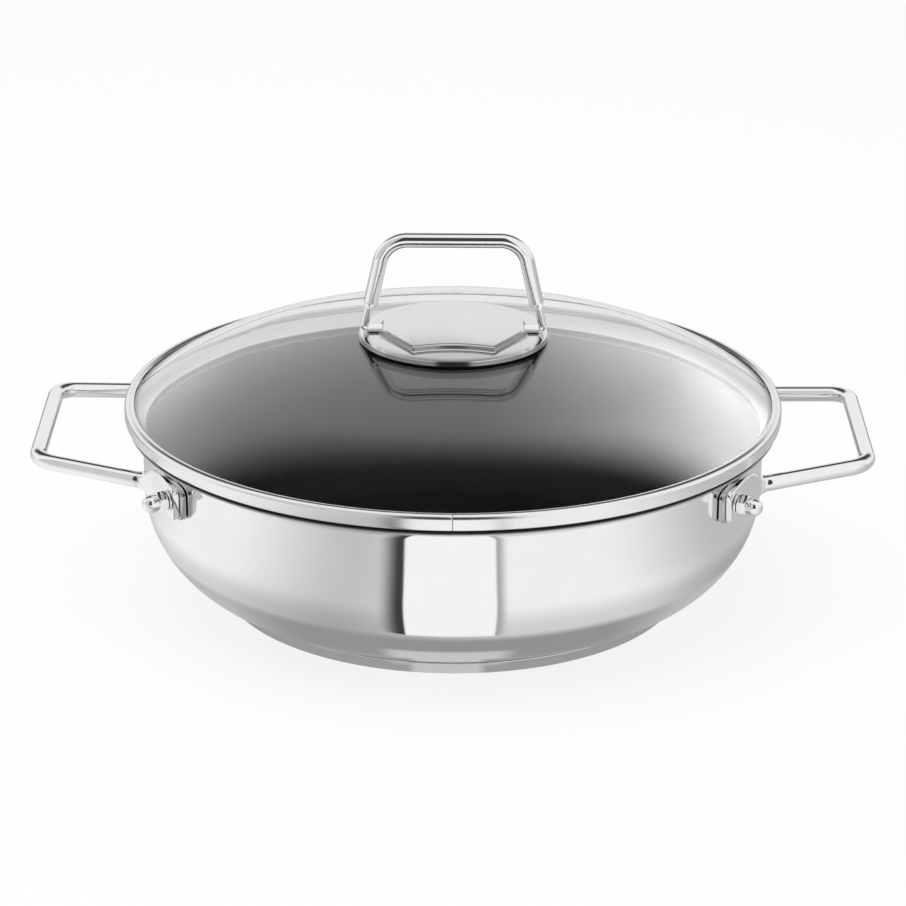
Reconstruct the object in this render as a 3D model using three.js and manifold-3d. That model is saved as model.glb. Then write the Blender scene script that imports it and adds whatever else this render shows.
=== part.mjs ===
// Shallow two-handled casserole with a glass lid. The pot is pressed from steel sheet and stands on a
// sandwich base, its bent-wire handles are bolted on with cap nuts, and the lid is a glass dome in a
// rolled steel rim, with a bent-wire handle on an embossed base.
// Millimetres, +Z up, origin at the middle of the base, side handles along X.

import * as THREE from "three";
import { mergeVertices } from "three/addons/utils/BufferGeometryUtils.js";
import Module from "manifold-3d";

const wasm = await Module();
wasm.setup();

// Pot
const wallRadius = 136.2; // outside of the upright wall
const potSheet = 1; // steel sheet of the shell
const turnRadius = 48; // outside radius between wall and bottom
const lipTop = 80.2; // top of the pouring lip above the table
const lipBend = 5; // radius under the flare of the lip
const lipLand = 1.3; // level ring at the end of the flare
const coating = 0.4; // nonstick lining
const coatingDrop = 0.2; // from the start of the flare down to the edge of the lining

// Sandwich base
const baseRadius = 102; // bottom edge of the cap
const baseFlare = 1.8; // how far the cap's side leans out
const baseEdge = 0.8; // bevel at the foot of the side
const capSheet = 0.8;
const coreThickness = 2.4;
const coreInset = 6.7; // core's edge inside the cap's side

// Side handles
const rodDiameter = 6.9;
const boltAzimuth = THREE.MathUtils.degToRad(32.3); // bolts, measured from the X axis
const boltLevel = 67.9; // bolts above the table
const flatHeight = 14.4; // flattened end of the wire, upright
const flatThickness = 2.7;
const flatTail = 4.8; // from the bolt to the end of the flat
const flatCorner = 2.4; // rounded corners of that end
const flatEdge = 0.8; // rounding along the edges of the flat
const flatRise = 0.26; // how fast the flat climbs from its end
const flatPeak = 9; // from the bolt to where it stops climbing
const flatPeakBend = 25; // radius of its upper edge there
const swageBefore = 9; // the flat starts to turn round this far before the arm's bend
const swageAfter = 5; // and is round wire this far after it
const armLevel = 69.1; // arms above the table, where they leave the pot
const armSpread = 55.4; // half the distance between the arms, at the wall's radius
const armLean = 0.2564; // how fast the arms close up outwards
const gripReach = 179; // middle of the grip from the pot's axis
const gripLevel = 73.9; // middle of the grip above the table
const gripBend = 11; // middle radius of the grip's corners
const endBend = 6; // middle radius where the arm turns along the wall

// Handle fixings
const bracketThickness = 2.6;
const bracketLength = 17;
const bracketHeight = 13.6;
const bracketDrop = 0.8; // its middle below the bolt
const bracketCorner = 3;
const bracketPast = 1; // the bracket stands out past the flat's end
const studDiameter = 5;
const studEnd = 1; // from the stud's end to the bottom of the nut's thread
const washerDiameter = 9.4;
const washerThickness = 1;
const nutAcrossFlats = 8.2;
const nutHexHeight = 4;
const nutDomeDiameter = 7.6;
const nutHeight = 10.2;
const nutBore = 7.4; // depth of the thread

// Lid glass and rim
const glassThickness = 4;
const crownRadius = 440; // top of the dome
const kneeRadius = 96; // from the axis to where the crown turns down
const kneeBend = 128; // radius of the dome outside the knee
const glassHole = 10;
const rimSheet = 0.8;
const rimOverhang = 1.5; // rim past the pouring lip
const rimLift = 1.4; // from the lip up to the rim's underside
const beadRadius = 2.4; // rolled top edge of the rim
const rimFoot = 1.8; // rolled bottom edge of the rim
const skirtLength = 1.6; // upright end of the skirt
const skirtPlay = 0.5; // between skirt and pot wall
const glassPlay = 0.8; // between glass edge and rim wall

// Lid handle and its base
const discRadius = 41.5;
const discSheet = 0.8;
const discFall = 0.7; // the disc slopes to its edge
const discClear = 1.75; // disc edge above the glass
const hoodHalfLength = 32;
const hoodEndHalfWidth = 8.5;
const hoodCornerX = 18;
const hoodCornerY = 31;
const hoodBow = 4; // long edges curve in between the corners
const hoodDraft = 1.6; // slope of the hood's side
const wireDiameter = 6.4;
const wireTop = 162.8; // top of the lid handle above the table
const wireShoulder = 31.2; // half width of the handle where its corners end
const wireShoulderDrop = 9.5; // level of that width below the top
const wireSplay = 0.218; // how fast the legs spread downwards
const wireBend = 12; // middle radius of the upper corners
const footBend = 2; // middle radius where a leg turns under the hood
const footThickness = 1;
const footWidth = 9;
const footCorner = 0.5; // rounding along the edges of the foot
const tongueThickness = 3.4;
const tongueWidth = 8;
const tongueCorner = 1.2; // rounding along the edges of the tongue
const tongueAside = 0.6; // middle of the tongue outside the middle of the wire
const shoulderLength = 1.2; // from tongue to round wire
const tongueTop = 11.3; // shoulder of the tongue above the disc
const footReach = 25; // inner end of the feet from the axis

// Lid fixing
const bushFlange = 15;
const bushFlangeThickness = 0.8;
const bushNeck = 8.4;
const bushBore = 5;
const gasketDiameter = 24;
const gasketThickness = 1;
const lidWasherDiameter = 20;
const lidWasherThickness = 0.8;
const screwHead = 9.5;
const screwHeadHeight = 2.8;
const screwHeadRound = 2.2; // rounding of the head
const screwShank = 4.4;

// Fits and fineness
const fit = 0.3; // gap between pieces that touch
const turnFacets = 48; // sides of the large round pieces
const smallFacets = 12; // sides of small round pieces
const wireCornerPoints = 3; // points on each quarter of a wire's section
const bendSteps = 5; // steps round a wire's bend

// Steel and other finishes
function finish(color, roughness, metalness, extra = {}) {
  return new THREE.MeshStandardMaterial({ color, roughness, metalness, ...extra });
}
const polishedSteel = finish(0xd6d8da, 0.08, 1);
const brightWire = finish(0xcfd1d3, 0.12, 1);
const nonstick = finish(0x2b2c2e, 0.5, 0.1);
const aluminium = finish(0xb9bcc0, 0.45, 1);
const clearGlass = finish(0xe6ecea, 0.03, 0, { transparent: true, opacity: 0.25 });
const silicone = finish(0x3a3b3d, 0.7, 0);

const point = (r, z) => new THREE.Vector2(r, z);

// Points on an arc in the half section, angles in degrees
function arc(r, z, radius, from, to, steps) {
  return Array.from({ length: steps + 1 }, (_, i) => {
    const angle = THREE.MathUtils.degToRad(from + ((to - from) * i) / steps);
    return point(r + radius * Math.cos(angle), z + radius * Math.sin(angle));
  });
}

// A half section turned about Z: it runs anticlockwise, with the axis on its left
function revolve(profile, facets = turnFacets) {
  return new THREE.LatheGeometry(profile, facets).rotateX(Math.PI / 2);
}

// The same for a ring, whose section closes on itself
function revolveRing(profile, facets = turnFacets) {
  return revolve([...profile, profile[0].clone()], facets);
}

function disc(radius, bottom, top, facets = smallFacets) {
  return revolve([point(0, bottom), point(radius, bottom), point(radius, top), point(0, top)], facets);
}

function ring(inner, outer, bottom, top) {
  return revolveRing([
    point(inner, bottom),
    point(outer, bottom),
    point(outer, top),
    point(inner, top),
  ], smallFacets);
}

// Joins and cuts
function solid(geometry) {
  const bare = geometry.clone();
  bare.deleteAttribute("normal");
  bare.deleteAttribute("uv");
  const merged = mergeVertices(bare);
  return new wasm.Manifold(
    new wasm.Mesh({
      numProp: 3,
      vertProperties: new Float32Array(merged.attributes.position.array),
      triVerts: new Uint32Array(merged.index.array),
    }),
  );
}

function shape(body) {
  const mesh = body.getMesh();
  const geometry = new THREE.BufferGeometry();
  geometry.setAttribute("position", new THREE.BufferAttribute(new Float32Array(mesh.vertProperties), 3));
  geometry.setIndex(new THREE.BufferAttribute(new Uint32Array(mesh.triVerts), 1));
  geometry.computeVertexNormals();
  return geometry;
}

// A skin over rings of equal length, closed flat at both ends
function loft(rings) {
  const count = rings[0].length;
  const index = [];
  for (let i = 0; i < rings.length - 1; i += 1) {
    for (let j = 0; j < count; j += 1) {
      const here = i * count + j;
      const next = i * count + ((j + 1) % count);
      index.push(here, next + count, next, here, here + count, next + count);
    }
  }
  const last = (rings.length - 1) * count;
  for (let j = 1; j < count - 1; j += 1) {
    index.push(0, j, j + 1, last, last + j + 1, last + j);
  }
  const geometry = new THREE.BufferGeometry();
  const positions = rings.flat().flatMap((corner) => corner.toArray());
  geometry.setAttribute("position", new THREE.Float32BufferAttribute(positions, 3));
  geometry.setIndex(index);
  geometry.computeVertexNormals();
  return geometry;
}

// Straight runs through the given points, joined by round bends. Each point says its bend's radius,
// and how many steps the run that leads to it has.
function bentPath(points) {
  const runs = [];
  let start = points[0].at;
  for (let i = 1; i < points.length; i += 1) {
    const { at, bend = 0, steps = 1 } = points[i];
    if (bend === 0) {
      runs.push({ curve: new THREE.LineCurve3(start, at), steps });
      start = at;
      continue;
    }
    const arriving = at.clone().sub(points[i - 1].at).normalize();
    const leaving = points[i + 1].at.clone().sub(at).normalize();
    const turn = arriving.angleTo(leaving);
    const cut = bend * Math.tan(turn / 2);
    const hold = (bend * 4 * Math.tan(turn / 4)) / 3;
    const entry = at.clone().addScaledVector(arriving, -cut);
    const exit = at.clone().addScaledVector(leaving, cut);
    runs.push({ curve: new THREE.LineCurve3(start, entry), steps });
    const curve = new THREE.CubicBezierCurve3(
      entry,
      entry.clone().addScaledVector(arriving, hold),
      exit.clone().addScaledVector(leaving, -hold),
      exit,
    );
    runs.push({ curve, steps: bendSteps });
    start = exit;
  }
  return runs;
}

// A wire along a bent path. section(run) gives half thickness, half width and corner rounding at that
// distance from the nearer end, and how far the wire stands aside from the path. The width lies along
// the given direction.
function wire(runs, across, section) {
  const total = runs.reduce((sum, { curve }) => sum + curve.getLength(), 0);
  const rings = [];
  let travelled = 0;
  runs.forEach(({ curve, steps }, number) => {
    for (let i = number === 0 ? 0 : 1; i <= steps; i += 1) {
      const along = travelled + curve.getLength() * (i / steps);
      const middle = curve.getPointAt(i / steps);
      const ahead = curve.getTangentAt(i / steps);
      const side = ahead.clone().cross(across).normalize();
      const { thick, wide, corner, aside = 0 } = section(Math.min(along, total - along));
      rings.push(wireRing(thick, wide, corner).map(
        ([u, v]) => middle.clone().addScaledVector(side, u + aside).addScaledVector(across, v)));
    }
    travelled += curve.getLength();
  });
  return loft(rings);
}

// Section of a wire: a rectangle with round corners, a circle when the corners take up all of it
function wireRing(thick, wide, corner) {
  const ringPoints = [];
  for (let quarter = 0; quarter < 4; quarter += 1) {
    const signU = quarter === 0 || quarter === 3 ? 1 : -1;
    const signV = quarter < 2 ? 1 : -1;
    for (let i = 0; i < wireCornerPoints; i += 1) {
      const angle = ((quarter + (i + 0.5) / wireCornerPoints) * Math.PI) / 2;
      ringPoints.push([
        signU * (thick - corner) + corner * Math.cos(angle),
        signV * (wide - corner) + corner * Math.sin(angle),
      ]);
    }
  }
  return ringPoints;
}

// Heights and radii that follow from the driving dimensions
const bottomLevel = capSheet + fit + coreThickness + fit; // underside of the shell
const coreRadius = baseRadius - capSheet - coreInset;
const lipStart = lipTop - potSheet - lipBend;
const lipRadius = wallRadius + lipBend + lipLand;
const flareRadius = wallRadius + lipBend; // middle of the flare's arc
const bracketFace = wallRadius + fit;
const flatMiddle = bracketFace + bracketThickness + fit + flatThickness / 2;

// Pot shell and lining: the shell's half section at a depth inside its outer face
function shellProfile(depth, top) {
  return [
    point(0, bottomLevel + depth),
    ...arc(wallRadius - turnRadius, bottomLevel + turnRadius, turnRadius - depth, -90, 0, 6),
    point(wallRadius - depth, top),
  ];
}

function potBody() {
  return revolve([
    ...shellProfile(0, lipStart),
    ...arc(flareRadius, lipStart, lipBend, 180, 90, 3).slice(1),
    point(lipRadius, lipTop - potSheet),
    point(lipRadius, lipTop),
    ...arc(flareRadius, lipStart, lipBend + potSheet, 90, 180, 3),
    ...shellProfile(potSheet, lipStart).reverse().slice(1),
  ]);
}

function nonstickLining() {
  const top = lipStart - coatingDrop;
  const outside = potSheet + fit;
  return revolve([
    ...shellProfile(outside, top),
    ...shellProfile(outside + coating, top).reverse(),
  ]);
}

// Base: a cap whose side leans out to the shell, and the core inside it
function baseCap() {
  const inside = baseRadius - capSheet;
  const rise = Math.sqrt(turnRadius ** 2 - (inside + baseFlare - wallRadius + turnRadius) ** 2);
  const sideTop = bottomLevel + turnRadius - rise - fit;
  return revolve([
    point(0, 0),
    point(baseRadius - baseEdge, 0),
    point(baseRadius, baseEdge),
    point(baseRadius + baseFlare, sideTop),
    point(inside + baseFlare, sideTop),
    point(inside, capSheet),
    point(0, capSheet),
  ]);
}

function baseCore() {
  return disc(coreRadius, capSheet + fit, capSheet + fit + coreThickness, turnFacets);
}

// Side handle: from the end of one flat, along the wall, out along the arm, across the grip and back
function sideHandle() {
  const tangent = [Math.sin(boltAzimuth), Math.cos(boltAzimuth)];
  const bolt = [flatMiddle * Math.cos(boltAzimuth), -flatMiddle * Math.sin(boltAzimuth)];
  // the flat's line meets the arm's line at the inner bend
  const reach = (-armSpread + armLean * (bolt[0] - wallRadius) - bolt[1])
    / (tangent[1] - armLean * tangent[0]);
  const alongFlat = (run, z) => new THREE.Vector3(bolt[0] + run * tangent[0], bolt[1] + run * tangent[1], z);
  const gripY = armSpread - armLean * (gripReach - wallRadius);
  const elbow = alongFlat(reach, armLevel);
  const grip = new THREE.Vector3(gripReach, -gripY, gripLevel);
  const roundAt = endBend + swageAfter;
  const half = [
    { at: alongFlat(-flatTail, boltLevel - flatRise * flatTail) },
    { at: alongFlat(flatPeak, boltLevel + flatRise * flatPeak), bend: flatPeakBend, steps: 4 },
    { at: elbow, bend: endBend },
    { at: elbow.clone().lerp(grip, roundAt / elbow.distanceTo(grip)), steps: 3 },
    { at: grip, bend: gripBend, steps: 2 },
  ];
  const mirrored = half.map(({ at, bend }) => ({ at: at.clone().setY(-at.y), bend }));
  const rest = [
    mirrored[4],
    { ...mirrored[3], steps: 2 },
    { ...mirrored[2], steps: 3 },
    mirrored[1],
    { ...mirrored[0], steps: 4 },
  ];
  const rod = rodDiameter / 2;
  const flatEnd = flatTail + reach - swageBefore;
  const section = (run) => {
    const round = THREE.MathUtils.smoothstep(run, flatEnd, flatEnd + swageBefore + swageAfter);
    const short = Math.max(0, flatCorner - run);
    const upright = flatHeight / 2 - flatCorner + Math.sqrt(flatCorner ** 2 - short ** 2);
    return {
      thick: THREE.MathUtils.lerp(flatThickness / 2, rod, round),
      wide: THREE.MathUtils.lerp(upright, rod, round),
      corner: THREE.MathUtils.lerp(flatEdge, rod, round),
    };
  };
  let body = solid(wire(bentPath([...half, ...rest]), new THREE.Vector3(0, 0, 1), section));
  for (const azimuth of [-boltAzimuth, boltAzimuth]) {
    const turned = [0, 0, THREE.MathUtils.radToDeg(azimuth)];
    body = body.subtract(studHole(flatThickness).translate([flatMiddle, 0, boltLevel]).rotate(turned));
  }
  return shape(body);
}

// Turns a piece made about Z so that its axis points away from the pot
function alongRadius(geometry) {
  return geometry.rotateY(Math.PI / 2);
}

// The hole that a stud passes through, well past both faces of a plate
function studHole(plateThickness) {
  return solid(alongRadius(disc(studDiameter / 2 + fit, -2 * plateThickness, 2 * plateThickness)));
}

// Handle fixings, drawn with the radius along X and the wall's tangent along Y. The bracket's long edges
// climb as the flat on it does.
function bracket(towardsTail) {
  const high = bracketHeight / 2 - bracketCorner - bracketDrop;
  const low = bracketCorner - bracketHeight / 2 - bracketDrop;
  const far = flatTail + bracketPast - bracketCorner;
  const near = far - bracketLength + 2 * bracketCorner;
  const left = Math.min(towardsTail * near, towardsTail * far);
  const right = Math.max(towardsTail * near, towardsTail * far);
  const outline = new THREE.Shape();
  outline.absarc(right, high, bracketCorner, 0, Math.PI / 2);
  outline.absarc(left, high, bracketCorner, Math.PI / 2, Math.PI);
  outline.absarc(left, low, bracketCorner, Math.PI, Math.PI * 1.5);
  outline.absarc(right, low, bracketCorner, Math.PI * 1.5, Math.PI * 2);
  const plate = new THREE.ExtrudeGeometry(outline, {
    depth: bracketThickness,
    bevelEnabled: false,
    curveSegments: 3,
  });
  plate.applyMatrix4(new THREE.Matrix4().makeBasis(
    new THREE.Vector3(0, 1, -towardsTail * flatRise),
    new THREE.Vector3(0, 0, 1),
    new THREE.Vector3(1, 0, 0),
  ));
  return shape(solid(plate).subtract(studHole(bracketThickness)));
}

function capNut() {
  const across = nutAcrossFlats / Math.cos(Math.PI / 6) / 2;
  const dome = nutDomeDiameter / 2;
  const chamfer = (across - nutAcrossFlats / 2) * Math.tan(Math.PI / 6);
  const hex = disc(across, 0, nutHexHeight, 6);
  const turned = revolve([
    point(0, 0),
    point(across, 0),
    point(across, nutHexHeight - chamfer),
    point(nutAcrossFlats / 2, nutHexHeight),
    point(0, nutHexHeight),
  ], smallFacets);
  const cap = revolve([
    point(0, nutHexHeight / 2),
    point(dome, nutHexHeight / 2),
    ...arc(0, nutHeight - dome, dome, 0, 90, 3),
  ], smallFacets);
  const bore = disc(studDiameter / 2 + fit, -fit, nutBore);
  return shape(solid(hex).intersect(solid(turned)).add(solid(cap)).subtract(solid(bore)));
}

// Lid glass: crown and knee are two arcs that share a tangent, and its faces are parallel.
// Heights are below the top of the dome.
const kneeAngle = Math.asin(kneeRadius / crownRadius);
const kneeCentreR = kneeRadius - kneeBend * Math.sin(kneeAngle);
const kneeCentreZ = -crownRadius + (crownRadius - kneeBend) * Math.cos(kneeAngle);
const rimRadius = lipRadius + rimOverhang;
const glassEdge = rimRadius - rimSheet - glassPlay;
const edgeAngle = Math.asin((glassEdge - kneeCentreR) / kneeBend);
const rimBottom = lipTop + rimLift;
const glassTop = rimBottom + rimSheet + fit
  - kneeCentreZ - (kneeBend - glassThickness) * Math.cos(edgeAngle);

// Height of the glass's upper face, and its slope, at a radius
function glassAngle(radius) {
  return radius < kneeRadius
    ? Math.asin(radius / crownRadius)
    : Math.asin((radius - kneeCentreR) / kneeBend);
}

function glassLevel(radius) {
  const angle = glassAngle(radius);
  return glassTop + (radius < kneeRadius
    ? -crownRadius * (1 - Math.cos(angle))
    : kneeCentreZ + kneeBend * Math.cos(angle));
}

// One face of the glass from the hole to the edge, at a depth below the upper face
function glassFace(depth) {
  const degrees = (angle) => 90 - THREE.MathUtils.radToDeg(angle);
  const crown = crownRadius - depth;
  const hole = Math.asin(glassHole / 2 / crown);
  const gasket = Math.asin(gasketDiameter / 2 / crown);
  const knee = degrees(kneeAngle);
  return [
    ...arc(0, glassTop - crownRadius, crown, degrees(hole), degrees(gasket), 1),
    ...arc(0, glassTop - crownRadius, crown, degrees(gasket), knee, 3).slice(1),
    ...arc(kneeCentreR, glassTop + kneeCentreZ, kneeBend - depth, knee, degrees(edgeAngle), 4).slice(1),
  ];
}

function lidGlass() {
  return revolveRing([...glassFace(glassThickness), ...glassFace(0).reverse()]);
}

// Lid rim: a rolled strip that clasps the glass, and a skirt whose slope sits on the flare of the lip
const beadMiddle = rimRadius - beadRadius;
const beadEndRadius = beadMiddle - (beadRadius - rimSheet) * Math.SQRT1_2;
const beadLevel = glassLevel(beadEndRadius) + fit / Math.cos(glassAngle(beadEndRadius))
  - (beadRadius - rimSheet) * Math.SQRT1_2;

function lidRim() {
  const flare = lipBend + potSheet;
  // on the slope, height less radius is constant
  const slopeOutside = (flare + fit) * Math.SQRT2 + lipStart - flareRadius;
  const slopeInside = slopeOutside + rimSheet * Math.SQRT2;
  const skirtOutside = wallRadius - potSheet - skirtPlay;
  const skirtInside = skirtOutside - rimSheet;
  const skirtBottom = skirtOutside + slopeOutside - skirtLength;
  const footMiddle = rimRadius - rimFoot;
  const footLevel = rimBottom + rimFoot;
  const floor = rimBottom + rimSheet;
  return revolveRing([
    point(skirtInside, skirtBottom),
    point(skirtOutside, skirtBottom),
    point(skirtOutside, skirtOutside + slopeOutside),
    point(rimBottom - slopeOutside, rimBottom),
    ...arc(footMiddle, footLevel, rimFoot, -90, 0, 2),
    ...arc(beadMiddle, beadLevel, beadRadius, 0, 135, 4),
    ...arc(beadMiddle, beadLevel, beadRadius - rimSheet, 135, 0, 3),
    ...arc(footMiddle, footLevel, rimFoot - rimSheet, 0, -90, 1),
    point(floor - slopeInside, floor),
    point(skirtInside, skirtInside + slopeInside),
  ]);
}

// Lid handle base: a round disc with a hood pressed up in its middle, open below and at the two ends
const discEdge = glassLevel(discRadius) + discClear + discSheet;
const discShoulder = discEdge + discFall;
const hoodHeight = discSheet + footThickness + 2 * fit; // room for the feet under the hood
const hoodTop = discShoulder + hoodHeight;
const hoodCeiling = hoodTop - discSheet;

function hoodOutline(inset) {
  const x = hoodHalfLength - inset;
  const y = hoodEndHalfWidth;
  const cornerX = hoodCornerX - inset / 2;
  const cornerY = hoodCornerY - inset;
  const bow = cornerY - 2 * hoodBow;
  const outline = new THREE.Shape();
  outline.moveTo(x, -y);
  outline.lineTo(x, y);
  outline.lineTo(cornerX, cornerY);
  outline.quadraticCurveTo(0, bow, -cornerX, cornerY);
  outline.lineTo(-x, y);
  outline.lineTo(-x, -y);
  outline.lineTo(-cornerX, -cornerY);
  outline.quadraticCurveTo(0, -bow, cornerX, -cornerY);
  return outline;
}

// The hood as a solid block: its side slopes in by the draft up to its top
function hoodBlock(inset, bottom, top) {
  const block = new THREE.ExtrudeGeometry(hoodOutline(inset), {
    depth: top - hoodHeight - bottom,
    bevelThickness: hoodHeight,
    bevelSize: hoodDraft,
    bevelOffset: -hoodDraft,
    bevelSegments: 2,
    curveSegments: 5,
  });
  return solid(block.translate(0, 0, bottom));
}

function lidHandleBase() {
  const under = discShoulder - 2 * discSheet;
  const hoodRadius = Math.hypot(hoodCornerX, hoodCornerY);
  const plate = solid(revolve([
    point(0, discShoulder - discSheet),
    point(hoodRadius, discShoulder - discSheet),
    point(discRadius, discEdge - discSheet),
    point(discRadius, discEdge),
    point(hoodRadius, discShoulder),
    point(0, discShoulder),
  ]));
  const above = solid(new THREE.BoxGeometry(3 * discRadius, 3 * discRadius, 2 * hoodHeight)
    .translate(0, 0, discShoulder - discSheet / 2 + hoodHeight));
  const hood = hoodBlock(0, under, hoodTop).intersect(above);
  const hollow = hoodBlock(discSheet, under, hoodCeiling);
  const mouth = solid(new THREE.BoxGeometry(4 * discRadius, footWidth + 4 * fit, hoodCeiling - discShoulder)
    .translate(0, 0, (hoodCeiling + discShoulder) / 2));
  return shape(plate.add(hood).subtract(hollow).subtract(mouth));
}

// Lid handle: feet under the hood, tongues near the outside of the wire up to a shoulder, then round
// wire across the top
function lidHandle() {
  const spot = (x, z) => new THREE.Vector3(x, 0, z);
  const wireLevel = wireTop - wireDiameter / 2;
  const footLevel = discShoulder + fit + footThickness / 2;
  const shoulder = discShoulder + tongueTop;
  const fullRound = shoulder + shoulderLength;
  const legAt = (z) => wireShoulder + wireSplay * (wireTop - wireShoulderDrop - z);
  const half = [
    { at: spot(footReach, footLevel) },
    { at: spot(legAt(footLevel), footLevel), bend: footBend, steps: 2 },
    { at: spot(legAt(shoulder), shoulder), steps: 2 },
    { at: spot(legAt(fullRound), fullRound), steps: 2 },
    { at: spot(legAt(wireLevel), wireLevel), bend: wireBend },
  ];
  const mirrored = half.map(({ at, bend }) => ({ at: spot(-at.x, at.z), bend }));
  const rest = [
    mirrored[4],
    mirrored[3],
    { ...mirrored[2], steps: 2 },
    { ...mirrored[1], steps: 2 },
    { ...mirrored[0], steps: 2 },
  ];
  const rod = wireDiameter / 2;
  // distances along the wire: end of the foot, start of the straight leg, shoulder
  const turn = Math.PI / 2 + Math.atan(wireSplay);
  const cut = footBend * Math.tan(turn / 2);
  const footEnd = legAt(footLevel) - footReach - cut;
  const legStart = footEnd + footBend * turn;
  const tongueEnd = legStart + (shoulder - footLevel) * Math.hypot(1, wireSplay) - cut;
  const blend = THREE.MathUtils.lerp;
  const section = (run) => {
    const rising = THREE.MathUtils.smoothstep(run, footEnd, legStart);
    const round = THREE.MathUtils.smoothstep(run, tongueEnd, tongueEnd + shoulderLength);
    return {
      thick: blend(blend(footThickness, tongueThickness, rising) / 2, rod, round),
      wide: blend(blend(footWidth, tongueWidth, rising) / 2, rod, round),
      corner: blend(blend(footCorner, tongueCorner, rising), rod, round),
      aside: -tongueAside * rising * (1 - round),
    };
  };
  return wire(bentPath([...half, ...rest]), new THREE.Vector3(0, 1, 0), section);
}

// Lid fixing, from the hood down through the glass
const bushTop = hoodCeiling - fit;
const bushShoulder = bushTop - bushFlangeThickness;
const neckBottom = glassTop - glassThickness;
const underCrown = crownRadius - glassThickness;
const lowerGasketTop = glassTop - crownRadius - fit
  + Math.sqrt(underCrown ** 2 - (gasketDiameter / 2) ** 2);
const lidWasherTop = lowerGasketTop - gasketThickness - fit;
const screwSeat = lidWasherTop - lidWasherThickness - fit;

function lidBush() {
  return revolveRing([
    point(bushBore / 2, neckBottom),
    point(bushNeck / 2, neckBottom),
    point(bushNeck / 2, bushShoulder),
    point(bushFlange / 2, bushShoulder),
    point(bushFlange / 2, bushTop),
    point(bushBore / 2, bushTop),
  ], smallFacets);
}

function upperGasket() {
  return ring(bushNeck / 2 + fit, gasketDiameter / 2, glassTop + fit, bushShoulder - fit);
}

function lowerGasket() {
  return ring(bushNeck / 2 + fit, gasketDiameter / 2, lowerGasketTop - gasketThickness, lowerGasketTop);
}

function lidWasher() {
  return ring(screwShank / 2 + fit, lidWasherDiameter / 2, lidWasherTop - lidWasherThickness, lidWasherTop);
}

function lidScrew() {
  const head = screwHead / 2;
  const roundLevel = screwSeat - screwHeadHeight + screwHeadRound;
  return revolve([
    point(0, screwSeat - screwHeadHeight),
    ...arc(head - screwHeadRound, roundLevel, screwHeadRound, -90, 0, 3),
    point(head, screwSeat),
    point(screwShank / 2, screwSeat),
    point(screwShank / 2, bushTop - fit),
    point(0, bushTop - fit),
  ], smallFacets);
}

// Assembly
const casserole = new THREE.Group();

function add(group, name, geometry, material) {
  const mesh = new THREE.Mesh(geometry, material);
  mesh.name = name;
  group.add(mesh);
  return mesh;
}

const pot = new THREE.Group();
casserole.add(pot);
add(pot, "pot_body", potBody(), polishedSteel);
add(pot, "nonstick_lining", nonstickLining(), nonstick);
add(pot, "base_cap", baseCap(), polishedSteel);
add(pot, "base_core", baseCore(), aluminium);

for (const [side, turn] of [["right", 0], ["left", Math.PI]]) {
  const handleSide = new THREE.Group();
  handleSide.rotation.z = turn;
  pot.add(handleSide);
  add(handleSide, `${side}_handle`, sideHandle(), brightWire);
  for (const end of [-1, 1]) {
    const place = (end < 0) === (turn === 0) ? "front" : "rear";
    const fixing = new THREE.Group();
    fixing.rotation.z = end * boltAzimuth;
    handleSide.add(fixing);
    const name = (piece) => `${side}_${place}_${piece}`;
    const flatFace = flatMiddle + flatThickness / 2;
    add(fixing, name("bracket"), bracket(end), polishedSteel).position.set(bracketFace, 0, boltLevel);
    const studLength = flatFace + fit + washerThickness + fit + nutBore - studEnd - bracketFace;
    add(fixing, name("stud"), alongRadius(disc(studDiameter / 2, 0, studLength)), polishedSteel)
      .position.set(bracketFace, 0, boltLevel);
    add(fixing, name("washer"),
      alongRadius(ring(studDiameter / 2 + fit, washerDiameter / 2, 0, washerThickness)), polishedSteel)
      .position.set(flatFace + fit, 0, boltLevel);
    add(fixing, name("cap_nut"), alongRadius(capNut()), polishedSteel)
      .position.set(flatFace + fit + washerThickness + fit, 0, boltLevel);
  }
}

const lid = new THREE.Group();
casserole.add(lid);
add(lid, "lid_glass", lidGlass(), clearGlass);
add(lid, "lid_rim", lidRim(), polishedSteel);
add(lid, "lid_handle_base", lidHandleBase(), polishedSteel);
add(lid, "lid_handle", lidHandle(), brightWire);
add(lid, "lid_bush", lidBush(), polishedSteel);
add(lid, "lid_upper_gasket", upperGasket(), silicone);
add(lid, "lid_lower_gasket", lowerGasket(), silicone);
add(lid, "lid_washer", lidWasher(), polishedSteel);
add(lid, "lid_screw", lidScrew(), polishedSteel);

export default casserole;
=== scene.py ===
# %% [markdown]
# # A casserole with a glass lid
# The CAD model fixes every size and every place. This lesson puts the looks on it: mirror-polished
# steel, a dark nonstick inside, and a clear glass lid. The CAD solids have few facets, which a mirror
# shows at once, so each visible piece is modelled again here with fine rounds and takes the place of
# its CAD node.

# %% Load the frame
import bisect
import math

import bpy
from mathutils import Matrix, Vector


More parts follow.
